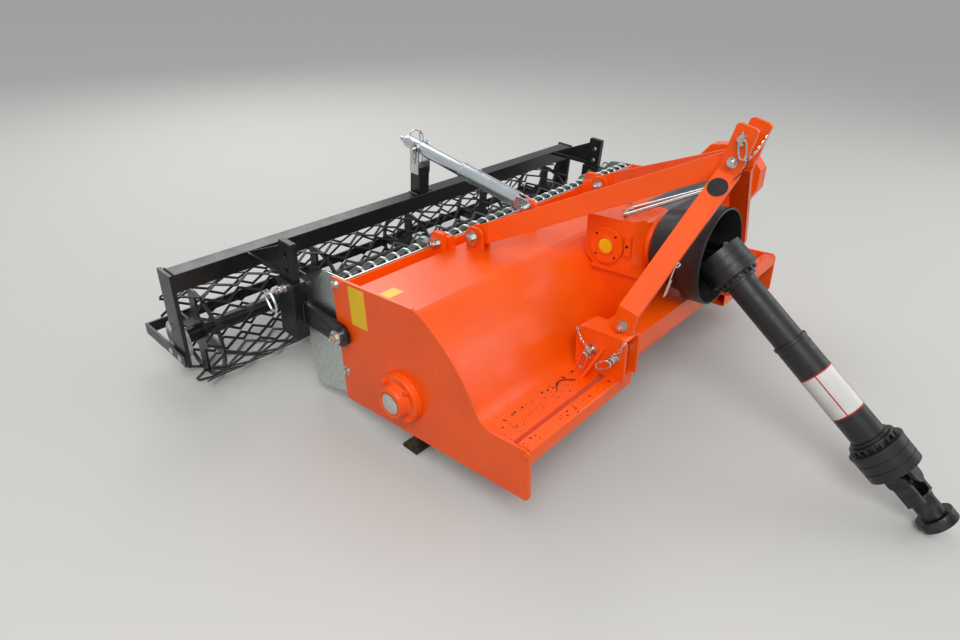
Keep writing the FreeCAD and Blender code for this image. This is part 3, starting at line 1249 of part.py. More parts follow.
tube_radius = size("GuardTube")
tube_wall = size("GuardTubeWall")
bell = size("BellRadius")
bell_long = size("BellLong")
rear_guard_outline = [
    (-size("BellStart"), bell), (-bell_long, bell - 3), (-bell_long - 14, tube_radius),
    (-size("RearTubeEnd"), tube_radius), (-size("RearTubeEnd"), tube_radius - tube_wall),
    (-bell_long - 10, tube_radius - tube_wall),
    (-bell_long - 4, bell - 8), (-size("BellStart"), bell - 3.5),
]
rear_guard = turned("RearGuard", "YZ", rear_guard_outline)
node("driveline_rear_guard", ON_DRIVELINE, rear_guard)
rear_yoke = facing_front(yoke_shape(False), 0)
rear_shaft = Part.makeCylinder(tube_radius - tube_wall, 20, Vector(0, -bell_long - 30, 0), Vector(0, 1, 0))
rear_rod = Part.makeCylinder(20, bell_long + 20 - yoke_long, Vector(0, -bell_long - 20, 0),
                             Vector(0, 1, 0))
node("driveline_rear_yoke", ON_DRIVELINE,
     raw("RearYoke", rear_yoke.fuse([cross_shape(0), rear_shaft, rear_rod]).removeSplitter()))

front_radius = tube_radius + size("TubePlay") + tube_wall
front_bell = size("FrontBellStart")
front_joint = front_bell + bell_long + 50
front_guard_outline = [
    (-size("FrontTubeStart"), tube_radius + size("TubePlay")), (-size("FrontTubeStart"), front_radius),
    (-front_bell, front_radius), (-front_bell - 14, bell - 3), (-front_bell - 14 - bell_long, bell),
    (-front_bell - 14 - bell_long, bell - 3.5), (-front_bell - 18, bell - 8),
    (-front_bell - 6, tube_radius + size("TubePlay")),
]
node("driveline_front_guard", ON_DRIVELINE, turned("FrontGuard", "YZ", front_guard_outline))
inner_yoke = yoke_shape(False)
inner_yoke.translate(Vector(0, -front_joint, 0))
front_shaft = Part.makeCylinder(tube_radius + size("TubePlay"), 20, Vector(0, -front_bell - 2, 0),
                                Vector(0, 1, 0))
front_rod = Part.makeCylinder(20, front_joint - yoke_long - front_bell + 10,
                              Vector(0, -front_joint + yoke_long, 0), Vector(0, 1, 0))
end_yoke = facing_front(yoke_shape(True), -front_joint)
collar_long = drive_long - front_joint - yoke_long
collar = Part.makeCylinder(30, collar_long, Vector(0, -drive_long, 0), Vector(0, 1, 0))
ring_collar = Part.makeCylinder(size("YokeEndRadius"), 26, Vector(0, -drive_long, 0), Vector(0, 1, 0))
end_bore = Part.makeCylinder(size("SplineRadius"), collar_long, Vector(0, -drive_long - 1, 0),
                             Vector(0, 1, 0))
front_yokes = inner_yoke.fuse([cross_shape(-front_joint), front_shaft, front_rod, end_yoke, collar,
                               ring_collar]).cut(end_bore).removeSplitter()
node("driveline_front_yoke", ON_DRIVELINE, raw("FrontYoke", front_yokes))

doc.recompute()
faults = [obj.Name for obj in doc.Objects if "Invalid" in obj.State or "Error" in obj.State]
if faults:
    raise RuntimeError("not built: " + ", ".join(faults))
for obj in nodes:
    if obj.Shape.isNull() or not obj.Shape.isValid() or not obj.Shape.Solids:
        raise RuntimeError("no valid solid in " + obj.Label)

os.makedirs("parts", exist_ok=True)
for obj in nodes:
    obj.Shape.exportStep("parts/" + obj.Label + ".step")

whole = Part.makeCompound([obj.Shape for obj in nodes]).BoundBox
print("nodes", len(nodes))
print("box", [round(v, 1) for v in (whole.XMin, whole.XMax, whole.YMin, whole.YMax, whole.ZMin, whole.ZMax)])
print("parked nose up", round(math.degrees(park), 3), "driveline", round(drive_long, 1),
      "adjuster", round(adjuster_reach, 2), round(adjuster_angle, 3))
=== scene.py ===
"""Looks of a rotary tiller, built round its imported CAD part.

Positions are written as in the part's source: millimetres in the level frame, x from the machine's
middle, y to the rear from the front edge of the side plates, z up from their lower edge. Two joints
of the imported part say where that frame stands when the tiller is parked.

Every added piece is a surface on a grid of points (row, column). Three kinds make them all.
Lathe: point = at + distance(row) * axis + radius(row) * ring(column), where ring is a circle square
to the axis, or a hexagon for a bolt's head.
Tube: point = path(row) + radius(row) * ring(column), where the ring stays square to the path and
turns no more than the path makes it turn. A weld's radius swells and shrinks along the path.
Slab: six rings of one outline, first shrunk to its middle, then eased in, full, full, eased in and
shrunk again, at heights that rise from the back of the plate to its face.
"""

import json
import math

import bmesh
import bpy
import numpy as np
from mathutils import Matrix, Vector


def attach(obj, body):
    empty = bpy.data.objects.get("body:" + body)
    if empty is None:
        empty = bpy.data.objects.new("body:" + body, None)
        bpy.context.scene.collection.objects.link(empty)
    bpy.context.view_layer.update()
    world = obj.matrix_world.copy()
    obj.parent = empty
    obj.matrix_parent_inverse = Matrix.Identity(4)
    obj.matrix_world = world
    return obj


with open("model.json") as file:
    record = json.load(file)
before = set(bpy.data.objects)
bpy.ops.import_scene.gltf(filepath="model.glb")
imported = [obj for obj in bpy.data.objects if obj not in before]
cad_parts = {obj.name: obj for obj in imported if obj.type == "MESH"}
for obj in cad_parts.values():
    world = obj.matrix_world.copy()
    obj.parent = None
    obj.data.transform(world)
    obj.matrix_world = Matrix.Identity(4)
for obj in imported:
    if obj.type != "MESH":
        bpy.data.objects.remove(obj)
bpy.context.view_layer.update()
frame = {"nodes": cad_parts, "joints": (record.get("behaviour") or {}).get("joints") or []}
NODES = frame["nodes"]


# Frames: each takes a point of a group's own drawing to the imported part's frame, in metres

# The level frame is the machine's own, before it leans on its roller. Rotor axis and the driveline's
# height are in mm, the roller arms' pivot in metres.
ROTOR_Y, ROTOR_Z = 410, 115
DRIVE_Z = 388
ROTOR = (ROTOR_Y / 1000, ROTOR_Z / 1000)
ARMS = (0.635, 0.222)
joints = {joint["name"]: joint for joint in frame["joints"]}
rotor_at = Vector(joints["rotor_spin"]["pos_m"])
arms_at = Vector(joints["roller_arms"]["pos_m"])
park = (math.atan2(ARMS[1] - ROTOR[1], ARMS[0] - ROTOR[0])
        - math.atan2(arms_at.z - rotor_at.z, arms_at.y - rotor_at.y))
MACHINE = (Matrix.Translation(rotor_at) @ Matrix.Rotation(-park, 4, "X")
           @ Matrix.Translation((0, -ROTOR[0], -ROTOR[1])))


def seat(y, z, degrees):
    """A frame turned about X at a point of the level frame in metres."""
    return MACHINE @ Matrix.Translation((0, y, z)) @ Matrix.Rotation(math.radians(degrees), 4, "X")


MAST = seat(0.024, 0.266, 15.66)
ROLLER_FRAME = seat(*ARMS, 7)
DRIVELINE = seat(-0.070, DRIVE_Z / 1000, 40)
ADJUSTER = seat(0.545, 0.420, 13.78)
ROTOR_FRAME = Matrix.Translation(rotor_at)


# Materials

def linear(colour):
    """Linear colour of an sRGB hex string."""
    parts = [int(colour[i:i + 2], 16) / 255 for i in (1, 3, 5)]
    return [c / 12.92 if c <= 0.04045 else ((c + 0.055) / 1.055) ** 2.4 for c in parts] + [1]


def add(tree, kind, result, links, **settings):
    """A shader node with its settings and links, sockets named by identifier; gives one output.

    Each input takes a value or another node's output.
    """
    new = tree.nodes.new("ShaderNode" + kind)
    for name, value in settings.items():
        setattr(new, name, value)
    inlets = {inlet.identifier: inlet for inlet in new.inputs}
    for name, value in links.items():
        if isinstance(value, bpy.types.NodeSocket):
            tree.links.new(value, inlets[name])
        else:
            inlets[name].default_value = value
    return {outlet.identifier: outlet for outlet in new.outputs}[result]


def cells(size):
    """Scale of a pattern whose marks are this many millimetres across, in metres of the object."""
    return 1000 / size


def material(name):
    """A new node material: its tree, its shader's inputs and the object's own coordinates."""
    made = bpy.data.materials.new(name)
    made.use_nodes = True
    tree = made.node_tree
    return made, tree, tree.nodes["Principled BSDF"].inputs, add(tree, "TexCoord", "Object", {})


def paint(name, base, shade, rough, dust="#5A3A22"):
    """Coat of paint.

    Colour: base and shade mixed by clouds 160 mm across, then dust where a 5 mm grain passes 0.69;
    the lower 450 mm have the more of it. Roughness: the plain value, 0.04 less to 0.07 more by
    45 mm clouds, or the dust's own. Relief: 0.05 mm of orange peel, 2.2 mm across.
    """
    made, tree, shader, place = material(name)
    clouds = add(tree, "TexNoise", "Fac", {"Vector": place, "Scale": cells(160), "Detail": 3})
    share = add(tree, "MapRange", "Result", {"Value": clouds, "From Min": 0.35, "From Max": 0.65})
    tone = add(tree, "Mix", "Result_Color", {
        "Factor_Float": share, "A_Color": linear(base), "B_Color": linear(shade)}, data_type="RGBA")
    height = add(tree, "SeparateXYZ", "Z", {"Vector": place})
    low = add(tree, "MapRange", "Result", {"Value": height, "From Min": 0.05, "From Max": 0.45,
                                           "To Min": 0.015, "To Max": 0.0})
    grain = add(tree, "TexNoise", "Fac", {"Vector": place, "Scale": cells(5), "Detail": 5})
    grains = add(tree, "Math", "Value", {"Value": grain, "Value_001": low}, operation="ADD")
    specks = add(tree, "MapRange", "Result", {"Value": grains, "From Min": 0.69, "From Max": 0.74,
                                              "To Min": 0.0, "To Max": 0.7})
    colour = add(tree, "Mix", "Result_Color", {
        "Factor_Float": specks, "A_Color": tone, "B_Color": linear(dust)}, data_type="RGBA")
    tree.links.new(colour, shader["Base Color"])
    film = add(tree, "TexNoise", "Fac", {"Vector": place, "Scale": cells(45), "Detail": 3})
    sheen = add(tree, "MapRange", "Result", {"Value": film, "From Min": 0.3, "From Max": 0.7,
                                             "To Min": rough - 0.04, "To Max": rough + 0.07})
    tree.links.new(add(tree, "Math", "Value", {"Value": sheen, "Value_001": specks},
                       operation="MAXIMUM"), shader["Roughness"])
    peel = add(tree, "TexNoise", "Fac", {"Vector": place, "Scale": cells(2.2), "Detail": 1})
    tree.links.new(add(tree, "Bump", "Normal", {
        "Height": peel, "Distance": 0.05e-3, "Strength": 1.0}), shader["Normal"])
    return made


def metal(name, base, shade, grain, rough, relief=0.02, spread=0.09):
    """Bare or plated metal.

    Colour: base and shade mixed by a mottle whose marks are the grain across, in millimetres.
    Roughness: the plain value, less or more by up to the spread, in marks a third as wide. Relief:
    3 mm marks of that height in millimetres.
    """
    made, tree, shader, place = material(name)
    mottle = add(tree, "TexNoise", "Fac", {"Vector": place, "Scale": cells(grain), "Detail": 4})
    share = add(tree, "MapRange", "Result", {"Value": mottle, "From Min": 0.35, "From Max": 0.65})
    tree.links.new(add(tree, "Mix", "Result_Color", {
        "Factor_Float": share, "A_Color": linear(base), "B_Color": linear(shade)}, data_type="RGBA"),
        shader["Base Color"])
    shader["Metallic"].default_value = 1.0
    rubbed = add(tree, "TexNoise", "Fac", {"Vector": place, "Scale": cells(grain / 3), "Detail": 3})
    tree.links.new(add(tree, "MapRange", "Result", {
        "Value": rubbed, "From Min": 0.3, "From Max": 0.7, "To Min": rough - spread,
        "To Max": rough + spread}), shader["Roughness"])
    marks = add(tree, "TexNoise", "Fac", {"Vector": place, "Scale": cells(3), "Detail": 4})
    tree.links.new(add(tree, "Bump", "Normal", {
        "Height": marks, "Distance": relief * 1e-3, "Strength": 1.0}), shader["Normal"])
    return made


def plastic(name, base, shade, rough):
    """Moulded plastic, foil or soil.

    Colour: base and shade mixed by clouds 60 mm across. Roughness: the plain value, 0.06 less to
    0.08 more by 14 mm marks. Relief: 0.06 mm of a 1.2 mm grain.
    """
    made, tree, shader, place = material(name)
    clouds = add(tree, "TexNoise", "Fac", {"Vector": place, "Scale": cells(60), "Detail": 3})
    share = add(tree, "MapRange", "Result", {"Value": clouds, "From Min": 0.4, "From Max": 0.7})
    tree.links.new(add(tree, "Mix", "Result_Color", {
        "Factor_Float": share, "A_Color": linear(base), "B_Color": linear(shade)}, data_type="RGBA"),
        shader["Base Color"])
    film = add(tree, "TexNoise", "Fac", {"Vector": place, "Scale": cells(14), "Detail": 3})
    tree.links.new(add(tree, "MapRange", "Result", {
        "Value": film, "From Min": 0.3, "From Max": 0.7, "To Min": rough - 0.06,
        "To Max": rough + 0.08}), shader["Roughness"])
    grain = add(tree, "TexNoise", "Fac", {"Vector": place, "Scale": cells(1.2), "Detail": 2})
    tree.links.new(add(tree, "Bump", "Normal", {
        "Height": grain, "Distance": 0.06e-3, "Strength": 1.0}), shader["Normal"])
    return made


# The main coat: saturated red-orange, semi-gloss, so broad faces show a soft highlight.
ORANGE = paint("orange_paint", "#FB5900", "#F25300", 0.3)
# Weld beads under the same coat, a little darker and rougher all over.
WELD_ORANGE = paint("orange_paint_on_welds", "#F25400", "#DE4B00", 0.38)
# Semi-gloss black of the roller and its frame, greyed by dust near the ground.
BLACK = paint("black_paint", "#121315", "#1A1B1D", 0.3, "#5A554E")
# Blue-grey paint of the side drive's tube, smooth and semi-gloss.
SLATE = paint("slate_paint", "#3A4046", "#343A40", 0.32, "#5A554E")
# Dull grey zinc of the side sheets, comb and holder rod, with crystals about 12 mm across; its faint green
# tint is a painted reflection of grass.
ZINC = metal("galvanised_zinc", "#D3DAD6", "#BCC4C0", 12, 0.34)
# Smoother zinc of the adjuster's tubes, with soft streaks of light along them.
TUBE_ZINC = metal("smooth_zinc", "#D3D9DC", "#C9D0D4", 60, 0.24, 0.002, 0.03)
# Bright plated bolts, pins and chains, which catch small sharp glints.
BRIGHT = metal("bright_plate", "#DADBD8", "#BFC1BC", 6, 0.24)
# Dark forged steel of the driveline's yokes, a little lighter than the plastic round them.
DARK_STEEL = metal("dark_steel", "#4A4C4E", "#38393A", 20, 0.4)
# Rotor tines and their bolts, worn, brown from soil and almost matt.
WORN = metal("worn_steel", "#5E5348", "#3D352E", 9, 0.58)
# Black plastic of the driveline's guards, half matt with a fine grain.
PLASTIC = plastic("black_guard_plastic", "#141516", "#1C1D1E", 0.42)
# Blank yellow foil of the signs, flat and evenly bright.
YELLOW = plastic("yellow_sign_foil", "#F2C20C", "#E8B80A", 0.35)
# Blank black foil of the round sign, also for small dark screws and the cord.
SIGN_BLACK = plastic("black_sign_foil", "#101010", "#181818", 0.3)
# Blank pale foil of the sleeve on the driveline, the lightest patch of the machine.
PALE_SIGN = plastic("pale_sign_foil", "#D9D8D4", "#CFCEC9", 0.38)
# Red foil of that sleeve's edges, thin lines that frame it.
RED = plastic("red_sign_foil", "#C21F1A", "#B01B17", 0.38)
# Crumbs of dark soil in the trough, quite matt.
SOIL = plastic("soil_crumbs", "#3B2A1C", "#2A1D13", 0.85)


# Shapes: each gives a grid of points in millimetres and whether its rows and columns close

X_AXIS = np.array((1.0, 0, 0))
Y_AXIS = np.array((0, 1.0, 0))
Z_AXIS = np.array((0, 0, 1.0))


def unit(vector):
    """A direction of length one."""
    vector = np.array(vector, float)
    return vector / np.linalg.norm(vector)


def square_to(direction):
    """A direction square to another."""
    helper = X_AXIS if abs(direction[0]) < 0.8 else Z_AXIS
    return unit(np.cross(direction, helper))


def lathe(at, along, profile, sides=24, closed=False):
    """Rings of (distance, radius) round an axis; closed when the last ring joins the first."""
    axis = unit(along)
    side = square_to(axis)
    turn = np.arange(sides) * 2 * math.pi / sides
    ring = np.cos(turn)[:, None] * side + np.sin(turn)[:, None] * np.cross(axis, side)
    distance, radius = np.array(profile, float).T
    points = np.array(at, float) + distance[:, None, None] * axis + radius[:, None, None] * ring
    return points, closed, True


def softened(points, closed=False, times=3):
    """Corner cutting: each side keeps its middle half, so corners turn into short curves."""
    points = np.array(points, float)
    for _ in range(times):
        before = points if closed else points[:-1]
        after = np.roll(points, -1, 0) if closed else points[1:]
        parts = np.stack([0.75 * before + 0.25 * after, 0.25 * before + 0.75 * after], axis=1)
        cut = parts.reshape(-1, points.shape[1])
        points = cut if closed else np.vstack([points[:1], cut, points[-1:]])
    return points


def spaced(points, step):
    """The same path with points at even steps of its length, read off between the old ones."""
    points = np.array(points, float)
    run = np.concatenate([[0], np.cumsum(np.linalg.norm(np.diff(points, axis=0), axis=1))])
    places = np.linspace(0, run[-1], max(2, int(run[-1] / step) + 1))
    return np.stack([np.interp(places, run, column) for column in points.T], axis=1)


def tube(path, radius, sides=8, closed=False):
    """A round surface along a path; open ends are shut with a low dome."""
    path = np.array(path, float)
    if closed:
        heading = np.roll(path, -1, 0) - np.roll(path, 1, 0)
    else:
        heading = np.gradient(path, axis=0)
    heading /= np.linalg.norm(heading, axis=1, keepdims=True)
    side = square_to(heading[0])
    across = []
    for direction in heading:
        side = unit(side - direction * side.dot(direction))
        across.append(side)
    across = np.array(across)
    radius = np.broadcast_to(radius, len(path)).astype(float)
    if not closed:
        first, last = radius[0], radius[-1]
        path = np.vstack([path[0] - heading[0] * first * 0.3, path[0] - heading[0] * first * 0.2, path,
                          path[-1] + heading[-1] * last * 0.2, path[-1] + heading[-1] * last * 0.3])
        radius = np.concatenate([[0, first * 0.7], radius, [last * 0.7, 0]])
        across = np.vstack([across[:1], across[:1], across, across[-1:], across[-1:]])
        heading = np.vstack([heading[:1], heading[:1], heading, heading[-1:], heading[-1:]])
    turn = np.arange(sides) * 2 * math.pi / sides
    ring = (np.cos(turn)[:, None] * across[:, None, :]
            + np.sin(turn)[:, None] * np.cross(heading, across)[:, None, :])
    return path[:, None, :] + radius[:, None, None] * ring, closed, True


def slab(at, across, upward, outline, thick, edge=0.5):
    """A plate on its back: its outline in (across, upward), its face with eased edges."""
    outline = np.array(outline, float)
    middle = outline.mean(0)
    reach = np.linalg.norm(outline - middle, axis=1, keepdims=True)
    eased = middle + (outline - middle) * (1 - edge / reach)
    shrunk = np.broadcast_to(middle, outline.shape)
    rings = np.array([shrunk, eased, outline, outline, eased, shrunk])
    heights = np.array([0, 0, edge, thick - edge, thick, thick])
    across, upward = unit(across), unit(upward)
    face = np.cross(across, upward)
    points = (np.array(at, float) + rings[:, :, :1] * across + rings[:, :, 1:] * upward
              + heights[:, None, None] * face)
    return points, False, True


def oblong(wide, tall):
    """A rectangle with soft corners round the middle of its plane."""
    wide, tall = wide / 2, tall / 2
    ease = min(wide, tall) * 0.3
    corners = [(-wide, -tall), (ease - wide, -tall), (wide - ease, -tall), (wide, -tall),
               (wide, ease - tall), (wide, tall - ease), (wide, tall), (wide - ease, tall),
               (ease - wide, tall), (-wide, tall), (-wide, tall - ease), (-wide, ease - tall)]
    return softened(corners, closed=True, times=2)


def disc(radius):
    """A circle round the middle of its plane: radius times the cosine and sine of even angles."""
    turn = np.arange(32) * 2 * math.pi / 32
    return np.stack([np.cos(turn), np.sin(turn)], axis=1) * radius


def bolt(at, along, radius=9.5, washer=1.7):
    """A chamfered hexagon head on a round washer."""
    round_part = [(0, 0), (0, radius * washer), (2, radius * washer), (2, 0)]
    top = 2 + radius * 1.1
    head = [(2, 0), (2, radius), (top - 1.2, radius), (top, radius * 0.84), (top, 0)]
    return [lathe(at, along, round_part, 20), lathe(at, along, head, 6)]


def nut_end(at, along, radius=9.5):
    """A nut on its washer with the bolt's turned end standing out of it."""
    tip = 2 + radius * 1.7
    end = radius * 0.55
    return bolt(at, along, radius) + [
        lathe(at, along, [(2, 0), (2, end), (tip - 2, end), (tip, end * 0.7), (tip, 0)], 14)]


def weld(path, radius=3.0):
    """A bead along a path: its radius times 0.86 and up to 0.2 more, by the size of a sine."""
    path = spaced(path, 2.4)
    swell = radius * (0.86 + 0.2 * np.abs(np.sin(np.arange(len(path)) * 1.15)))
    return tube(path, swell, 6)


def ring(centre, axis, radius, wire):
    """A round ring of wire: a tube along a circle square to an axis."""
    axis = unit(axis)
    side = square_to(axis)
    turn = np.arange(20) * 2 * math.pi / 20
    path = (np.array(centre, float)
            + radius * (np.cos(turn)[:, None] * side + np.sin(turn)[:, None] * np.cross(axis, side)))
    return tube(path, wire, 7, closed=True)


def oval(centre, along, across, long, wide, wire):
    """A ring of wire with straight sides: a tube along an ellipse with these two half widths.

    The way along isn't the angle's cosine but its power 0.6, sign kept, which straightens the sides.
    """
    turn = np.arange(28) * 2 * math.pi / 28
    steps = np.sign(np.cos(turn)) * np.abs(np.cos(turn)) ** 0.6, np.sin(turn)
    path = (np.array(centre, float) + long * steps[0][:, None] * unit(along)
            + wide * steps[1][:, None] * unit(across))
    return tube(path, wire, 8, closed=True)


# A chain's links: from one to the next, across, and the radius of their wire
PITCH, LINK_WIDE, LINK_WIRE = 7.5, 7.0, 1.1


def chain(start, end, sag):
    """Welded links hung between two points, each a quarter turn on from the last.

    The bow is the straight line less the sag times 4 s (1 - s), s running from 0 to 1.
    """
    start, end = np.array(start, float), np.array(end, float)
    share = np.linspace(0, 1, 60)[:, None]
    bow = start + (end - start) * share - Z_AXIS * sag * 4 * share * (1 - share)
    centres = spaced(bow, PITCH)
    headings = np.gradient(centres, axis=0)
    half = PITCH * 0.5
    bend = LINK_WIDE / 2 - LINK_WIRE
    turn = np.linspace(-math.pi / 2, math.pi / 2, 5)
    outline = np.concatenate([
        np.stack([half - LINK_WIRE + bend * np.cos(turn), bend * np.sin(turn)], axis=1),
        np.stack([LINK_WIRE - half - bend * np.cos(turn), -bend * np.sin(turn)], axis=1)])
    links = []
    for number, (centre, heading) in enumerate(zip(centres, headings)):
        ahead = unit(heading)
        side = square_to(ahead)
        if number % 2:
            side = np.cross(ahead, side)
        path = centre + outline[:, :1] * ahead + outline[:, 1:] * side
        links.append(tube(path, LINK_WIRE, 6, closed=True))
    return links


def linch_pin(at, along, ring_at, ring_way, ring_side):
    """A lock pin: a flat-headed stem through a bigger pin, and its oval ring, set off by ring_at."""
    stem = [(-17, 0), (-17, 3.4), (-15, 4), (9, 4), (9, 7.5), (16, 7.5), (17, 6), (17, 0)]
    return [lathe(at, along, stem, 12), oval(np.add(at, ring_at), ring_way, ring_side, 24, 9.5, 2.5)]


def quads(shape, wrap_rows, wrap_columns):
    """Four-cornered faces between neighbours of a grid, whose points are numbered row by row."""
    index = np.arange(shape[0] * shape[1]).reshape(shape[:2])
    if wrap_rows:
        index = np.vstack([index, index[:1]])
    if wrap_columns:
        index = np.hstack([index, index[:, :1]])
    corners = [index[:-1, :-1], index[1:, :-1], index[1:, 1:], index[:-1, 1:]]
    return np.stack(corners, axis=-1).reshape(-1, 4)


# Faces that meet at more than this show an edge
CREASE = math.radians(38)


def build(name, body, finish, parts, base=MACHINE):
    """One object from grids drawn in a base frame; it rides on a body."""
    vertices, faces, start = [], [], 0
    for points, wrap_rows, wrap_columns in parts:
        vertices.append(points.reshape(-1, 3) / 1000)
        faces.append(quads(points.shape, wrap_rows, wrap_columns) + start)
        start += len(vertices[-1])
    turned = np.array(base)
    placed = np.vstack(vertices) @ turned[:3, :3].T + turned[:3, 3]
    mesh = bpy.data.meshes.new(name)
    mesh.from_pydata(placed, [], np.vstack(faces))
    work = bmesh.new()
    work.from_mesh(mesh)
    bmesh.ops.remove_doubles(work, verts=work.verts, dist=2e-6)
    bmesh.ops.recalc_face_normals(work, faces=work.faces)
    work.to_mesh(mesh)
    work.free()
    mesh.polygons.foreach_set("use_smooth", np.ones(len(mesh.polygons), bool))
    mesh.set_sharp_from_angle(angle=CREASE)
    mesh.materials.append(finish)
    piece = bpy.data.objects.new(name, mesh)
    bpy.context.scene.collection.objects.link(piece)
    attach(piece, body)
    return piece


# The CAD's own meshes: finish, and edges eased by a small bevel

FINISHES = (
    (ORANGE, ("side_plate_right", "side_plate_left", "hood_sheet", "front_tube", "hitch_cross_channel",
              "hitch_bracket_right", "hitch_bracket_left", "mast_bar_right", "mast_bar_left",
              "brace_right", "brace_left", "hood_ears", "comb_lugs", "gearbox_housing", "gearbox_cover",
              "gearbox_stand", "side_drive_case", "side_drive_cover", "rotor_bearing_flange",
              "rotor_shaft")),
    (SLATE, ("side_drive_tube",)),
    (BLACK, ("comb_rod", "roller_mesh", "roller_core", "roller_scraper",
             "roller_post_right", "roller_post_left", "roller_arm_right", "roller_arm_left",
             "roller_beam", "beam_struts", "roller_end_plate_right", "roller_end_plate_left",
             "adjuster_post")),
    (ZINC, ("rear_side_sheet_right", "rear_side_sheet_left", "comb_rail", "comb_tines", "comb_links",
            "roller_bearings", "driveline_holder")),
    (TUBE_ZINC, ("adjuster_outer_tube", "adjuster_inner_tube", "adjuster_clevis")),
    (BRIGHT, ("arm_pivot_bolts", "height_pins", "brace_bolts", "mast_bolt", "top_link_pin",
              "lower_link_pins", "adjuster_front_pin", "adjuster_rear_pin")),
    (DARK_STEEL, ("gearbox_input_yoke", "driveline_rear_yoke", "driveline_front_yoke")),
    (WORN, ("rotor_tines",)),
    (PLASTIC, ("driveline_guard", "driveline_rear_guard", "driveline_front_guard")),
)
for finish, names in FINISHES:
    for name in names:
        data = NODES[name].data
        data.materials.clear()
        data.materials.append(finish)

# Width of the eased edge in millimetres
EASED = (
    (5.0, ("gearbox_housing",)),
    (2.2, ("side_drive_case", "roller_beam", "rotor_bearing_flange", "gearbox_cover", "front_tube",
           "hitch_bracket_right", "hitch_bracket_left", "hitch_cross_channel")),
    (1.3, ("side_plate_right", "side_plate_left", "mast_bar_right", "mast_bar_left",
           "brace_right", "brace_left", "hood_ears", "comb_lugs", "comb_links", "side_drive_cover",
           "roller_arm_right", "roller_arm_left", "roller_post_right", "roller_post_left",
           "beam_struts", "roller_end_plate_right", "roller_end_plate_left", "roller_scraper",
           "adjuster_post", "adjuster_clevis", "gearbox_stand", "gearbox_input_yoke", "driveline_rear_yoke",
           "driveline_front_yoke", "top_link_pin", "mast_bolt", "lower_link_pins", "height_pins")),
)
for width, names in EASED:
    for name in names:
        joined = NODES[name].modifiers.new("joined", "WELD")
        joined.merge_threshold = 1e-5
        eased = NODES[name].modifiers.new("eased", "BEVEL")
        eased.width = width / 1000
        eased.segments = 2
        eased.limit_method = "ANGLE"
        eased.angle_limit = math.radians(40)
        eased.harden_normals = True


# Places in the level frame that several pieces share, in mm. HALF is half the width over the side
# plates, and FILLET and ARC are the centres of the hood's two curves. The brackets and their pins,
# the side drive's upper shaft and the outer face of its case, and the adjuster follow.
HALF = 730
TUBE_TOP = 144
HOOD_TOP = 372
FILLET_Y, FILLET_Z = 102.8, 204
ARC_Y, ARC_Z = 556, 5
BRACKET_X = 325
BRACKET_IN, BRACKET_OUT = 290, 360
LINK_FRONT_Y, LINK_REAR_Y, LINK_Z = 16.5, 85.5, 206
SHAFT_Y, SHAFT_Z = 222, 400
CASE_FACE = 788
ADJUSTER_X = -40
TO_RIGHT = (-1, 0, 0)
FORWARD = (0, -1, 0)


def arc(centre_y, centre_z, radius, first, last):
    """Points of an arc in the plane of y and z: its centre plus the radius at even angles."""
    turn = np.radians(np.linspace(first, last, 16))
    return np.stack([centre_y + radius * np.cos(turn), centre_z + radius * np.sin(turn)], axis=1)


HOOD_LINE = np.vstack([
    [(66, 132)], arc(FILLET_Y, FILLET_Z, 72, -90, -23.7), arc(ARC_Y, ARC_Z, 423, 156.3, 121),
    [(354, HOOD_TOP), (570, HOOD_TOP)]])


def at_x(x, line):
    """A line of (y, z) points at one x."""
    return np.column_stack([np.full(len(line), float(x)), line])


# Weld beads: hood to side plates, front tube, brackets, gearbox stand, ears and lugs

build("hood_welds", "chassis", WELD_ORANGE, [
    weld(at_x(-720.8, HOOD_LINE + (0, 1.0)), 3.2), weld(at_x(720.8, HOOD_LINE + (0, 1.0)), 3.2),
    weld([(-720, 43, 131.5), (-292, 43, 131.5)], 3), weld([(292, 43, 131.5), (720, 43, 131.5)], 3),
    weld([(-721, 6, 144), (-721, 38, 144)], 3), weld([(721, 6, 144), (721, 38, 144)], 3),
])

bracket_welds = []
for sign in (-1, 1):
    for x in (BRACKET_IN, BRACKET_OUT):
        bracket_welds.append(weld([(sign * x, 66, 133.5), (sign * x, 132, 133.5)], 3.4))
    bracket_welds.append(weld([(sign * 362, 48, 222), (sign * 362, 86, 138)], 2.6))
    bracket_welds.append(weld([(sign * BRACKET_IN, -6, 249), (sign * BRACKET_IN, 98, 249)], 2.8))
    bracket_welds.append(weld([(sign * 315, 2, 267), (sign * 315, 44, 267)], 3.0))
build("bracket_welds", "chassis", WELD_ORANGE, bracket_welds)

bead_z = HOOD_TOP + 1
stand_welds = []
for x in (-106, 90):
    stand_welds.append(weld([(x, 100, 313), (x, 260, 313)], 2.6))
for x in (-96, 80):
    stand_welds.append(weld([(x, 102, 140), (x, 102, 306)], 2.8))
for sign in (-1, 1):
    for step in (-17, -9, 9, 17):
        x = sign * (BRACKET_X + step)
        stand_welds.append(weld([(x, 474, bead_z), (x, 536, bead_z)], 2.2))
for x in (-46, -34):
    stand_welds.append(weld([(x, 514, bead_z), (x, 569, bead_z)], 2.2))
for sign in (-1, 1):
    for x in (385, 405):
        stand_welds.append(weld([(sign * x, 559, bead_z), (sign * x, 569, bead_z)], 2.4))
build("stand_welds", "chassis", WELD_ORANGE, stand_welds)

# Bolts and nuts of the chassis, bright or under the coat of paint

